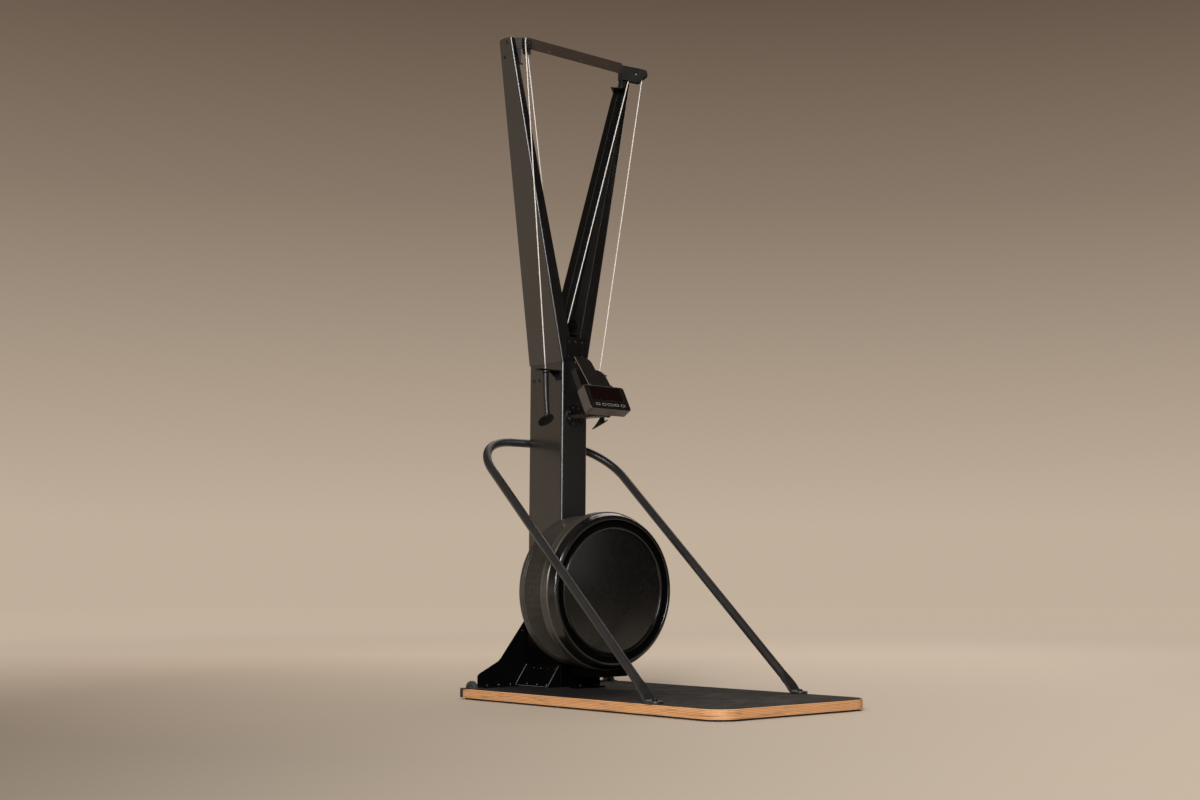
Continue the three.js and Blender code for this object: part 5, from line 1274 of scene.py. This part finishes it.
class TRAINER_OT_stage(bpy.types.Operator):
    """Plain studio: floor, backdrop tone, soft lamps and the camera"""

    bl_idname = "trainer.stage"
    bl_label = "Stage"

    def floor(self):
        """A round floor: rings at growing radii round the machine, one closed by the next. Far out
        its colour turns into the backdrop's, so that no horizon shows."""
        radius, sides = np.array([0.001, 0.6, 1.2, 2, 3, 4.5, 6.5, 9, 12, 16]), 72
        table = np.stack([np.append(circle(r, sides), np.zeros((sides, 1)), 1) for r in radius])
        index = np.arange(table[..., 0].size).reshape(len(radius), sides)
        quads = np.stack([index[:-1], index[1:], np.roll(index[1:], -1, 1), np.roll(index[:-1], -1, 1)], -1)
        mesh = bpy.data.meshes.new("floor")
        mesh.from_pydata(table.reshape(-1, 3).tolist(), [], quads.reshape(-1, 4).tolist())
        f = Finish("Pale floor", HORIZON, 0.9, Specular_IOR_Level=0.1, Emission_Color=(*HORIZON, 1))
        place = f.coordinates()
        reach = f.node("ShaderNodeVectorMath", {"operation": "LENGTH"}, Vector=place).outputs["Value"]
        camera, mirror = f.rays()
        far, seen = f.spread(reach, 0, 1, 1.8, 6.5), f.sum("MAXIMUM", camera, mirror)
        room = f.spread(f.along(place, FROM_ROOM), 0.06, 1.0, -2.6, 1.5)
        glow = f.times(f.sum("MAXIMUM", camera, room), far, seen)
        f.fill(f.shader.inputs["Emission Strength"], glow)
        aside = f.spread(f.along(place, TO_RIGHT), 0, 1, -1.6, 1.9)
        beyond = f.spread(f.along(place, OUTWARDS), 0, 1, -2.6, 3.0)
        # painted shade and painted light on the floor near the machine, from the table above
        near = f.mixed(aside, *(f.mixed(beyond, *tones) for tones in FLOOR_PAINTED_LIGHT_AND_SHADE))
        f.colour(f.mixed(f.times(seen, far), near, (0, 0, 0)))
        mesh.materials.append(f.material)
        disc = bpy.data.objects.new("floor", mesh)
        bpy.context.scene.collection.objects.link(disc)

    def world(self):
        """The backdrop seen from any side: pale at the horizon and darker upwards. What lights the
        machine is dimmer and plain, and its reflections fade towards the room in front of it."""
        bpy.context.scene.world = bpy.data.worlds.new("Studio")
        studio = Nodes(bpy.context.scene.world)
        studio.tree.nodes.clear()
        way = studio.node("ShaderNodeTexCoord").outputs["Generated"]
        height = studio.node("ShaderNodeSeparateXYZ", Vector=way).outputs[2]
        ramp = studio.node("ShaderNodeValToRGB", Fac=height)
        while len(ramp.color_ramp.elements) < len(SKY):
            ramp.color_ramp.elements.new(0.5)
        for element, (place, colour) in zip(ramp.color_ramp.elements, SKY):
            element.position, element.color = place, (*colour, 1)
        turned_away = studio.spread(studio.along(way, FROM_ROOM), 0.06, 1.0, -0.65, 0.5, "SMOOTHSTEP")
        camera, mirror = studio.rays()
        strength = studio.sum("MAXIMUM", camera, studio.times(mirror, turned_away))
        seen = studio.node("ShaderNodeBackground", Color=ramp.outputs[0], Strength=strength)
        plain = studio.node("ShaderNodeBackground", Color=(0.97, 0.97, 1.0, 1), Strength=0.40)
        mix = studio.node("ShaderNodeMixShader", Fac=studio.sum("MAXIMUM", camera, mirror))
        for socket, light in zip(mix.inputs[1:], (plain, seen)):
            studio.fill(socket, light.outputs[0])
        studio.node("ShaderNodeOutputWorld", Surface=mix.outputs[0])

    def lamp(self, name, place, target, width, height, power, colour):
        light = bpy.data.lights.new(name, "AREA")
        light.shape, light.size, light.size_y = "RECTANGLE", width, height
        light.energy, light.color = power, colour
        lamp = bpy.data.objects.new(name, light)
        lamp.location = place
        lamp.visible_camera = False
        lamp.rotation_euler = (Vector(target) - Vector(place)).to_track_quat("-Z", "Y").to_euler()
        bpy.context.scene.collection.objects.link(lamp)

    def execute(self, context):
        scene = context.scene
        scene.view_settings.view_transform = "Standard"
        self.world()
        self.floor()
        for lamp in LAMPS:
            self.lamp(*lamp)
        lens = bpy.data.cameras.new("Camera")
        lens.lens, lens.sensor_width, lens.clip_end = LENS, 36, 60
        lens.shift_x, lens.shift_y = SHIFT
        camera = bpy.data.objects.new("Camera", lens)
        camera.location = EYE
        camera.rotation_euler = [radians(a) for a in AIM]
        scene.collection.objects.link(camera)
        scene.camera = camera
        return {"FINISHED"}


# ---------------------------------------------------------------- sidebar
PIECES = (
    TRAINER_OT_stage, TRAINER_OT_ropes, TRAINER_OT_platform, TRAINER_OT_wheels, TRAINER_OT_mast,
    TRAINER_OT_arms, TRAINER_OT_pulleys, TRAINER_OT_handles, TRAINER_OT_brackets, TRAINER_OT_drum,
    TRAINER_OT_brace, TRAINER_OT_console, TRAINER_OT_bolts,
)


class TRAINER_PT_panel(bpy.types.Panel):
    """Sizes, colours and one button for each group of pieces"""

    bl_idname = "TRAINER_PT_panel"
    bl_label = "Ski trainer"
    bl_space_type = "VIEW_3D"
    bl_region_type = "UI"
    bl_category = "Ski trainer"

    def draw(self, context):
        for group in (context.scene.trainer_sizes, context.scene.trainer_colours):
            box_ = self.layout.box()
            for name in group.bl_rna.properties.keys():
                if name not in {"rna_type", "name"}:
                    box_.prop(group, name)
        for piece in PIECES:
            self.layout.operator(piece.bl_idname)


CLASSES = (MachineSizes, MachineColours, *PIECES, TRAINER_PT_panel)


def register():
    for cls in CLASSES:
        bpy.utils.register_class(cls)
    bpy.types.Scene.trainer_sizes = bpy.props.PointerProperty(type=MachineSizes)
    bpy.types.Scene.trainer_colours = bpy.props.PointerProperty(type=MachineColours)


def unregister():
    del bpy.types.Scene.trainer_colours
    del bpy.types.Scene.trainer_sizes
    for cls in reversed(CLASSES):
        bpy.utils.unregister_class(cls)


def main():
    register()
    for piece in PIECES:
        group, name = piece.bl_idname.split(".")
        getattr(getattr(bpy.ops, group), name)()


if __name__ == "__main__":
    main()
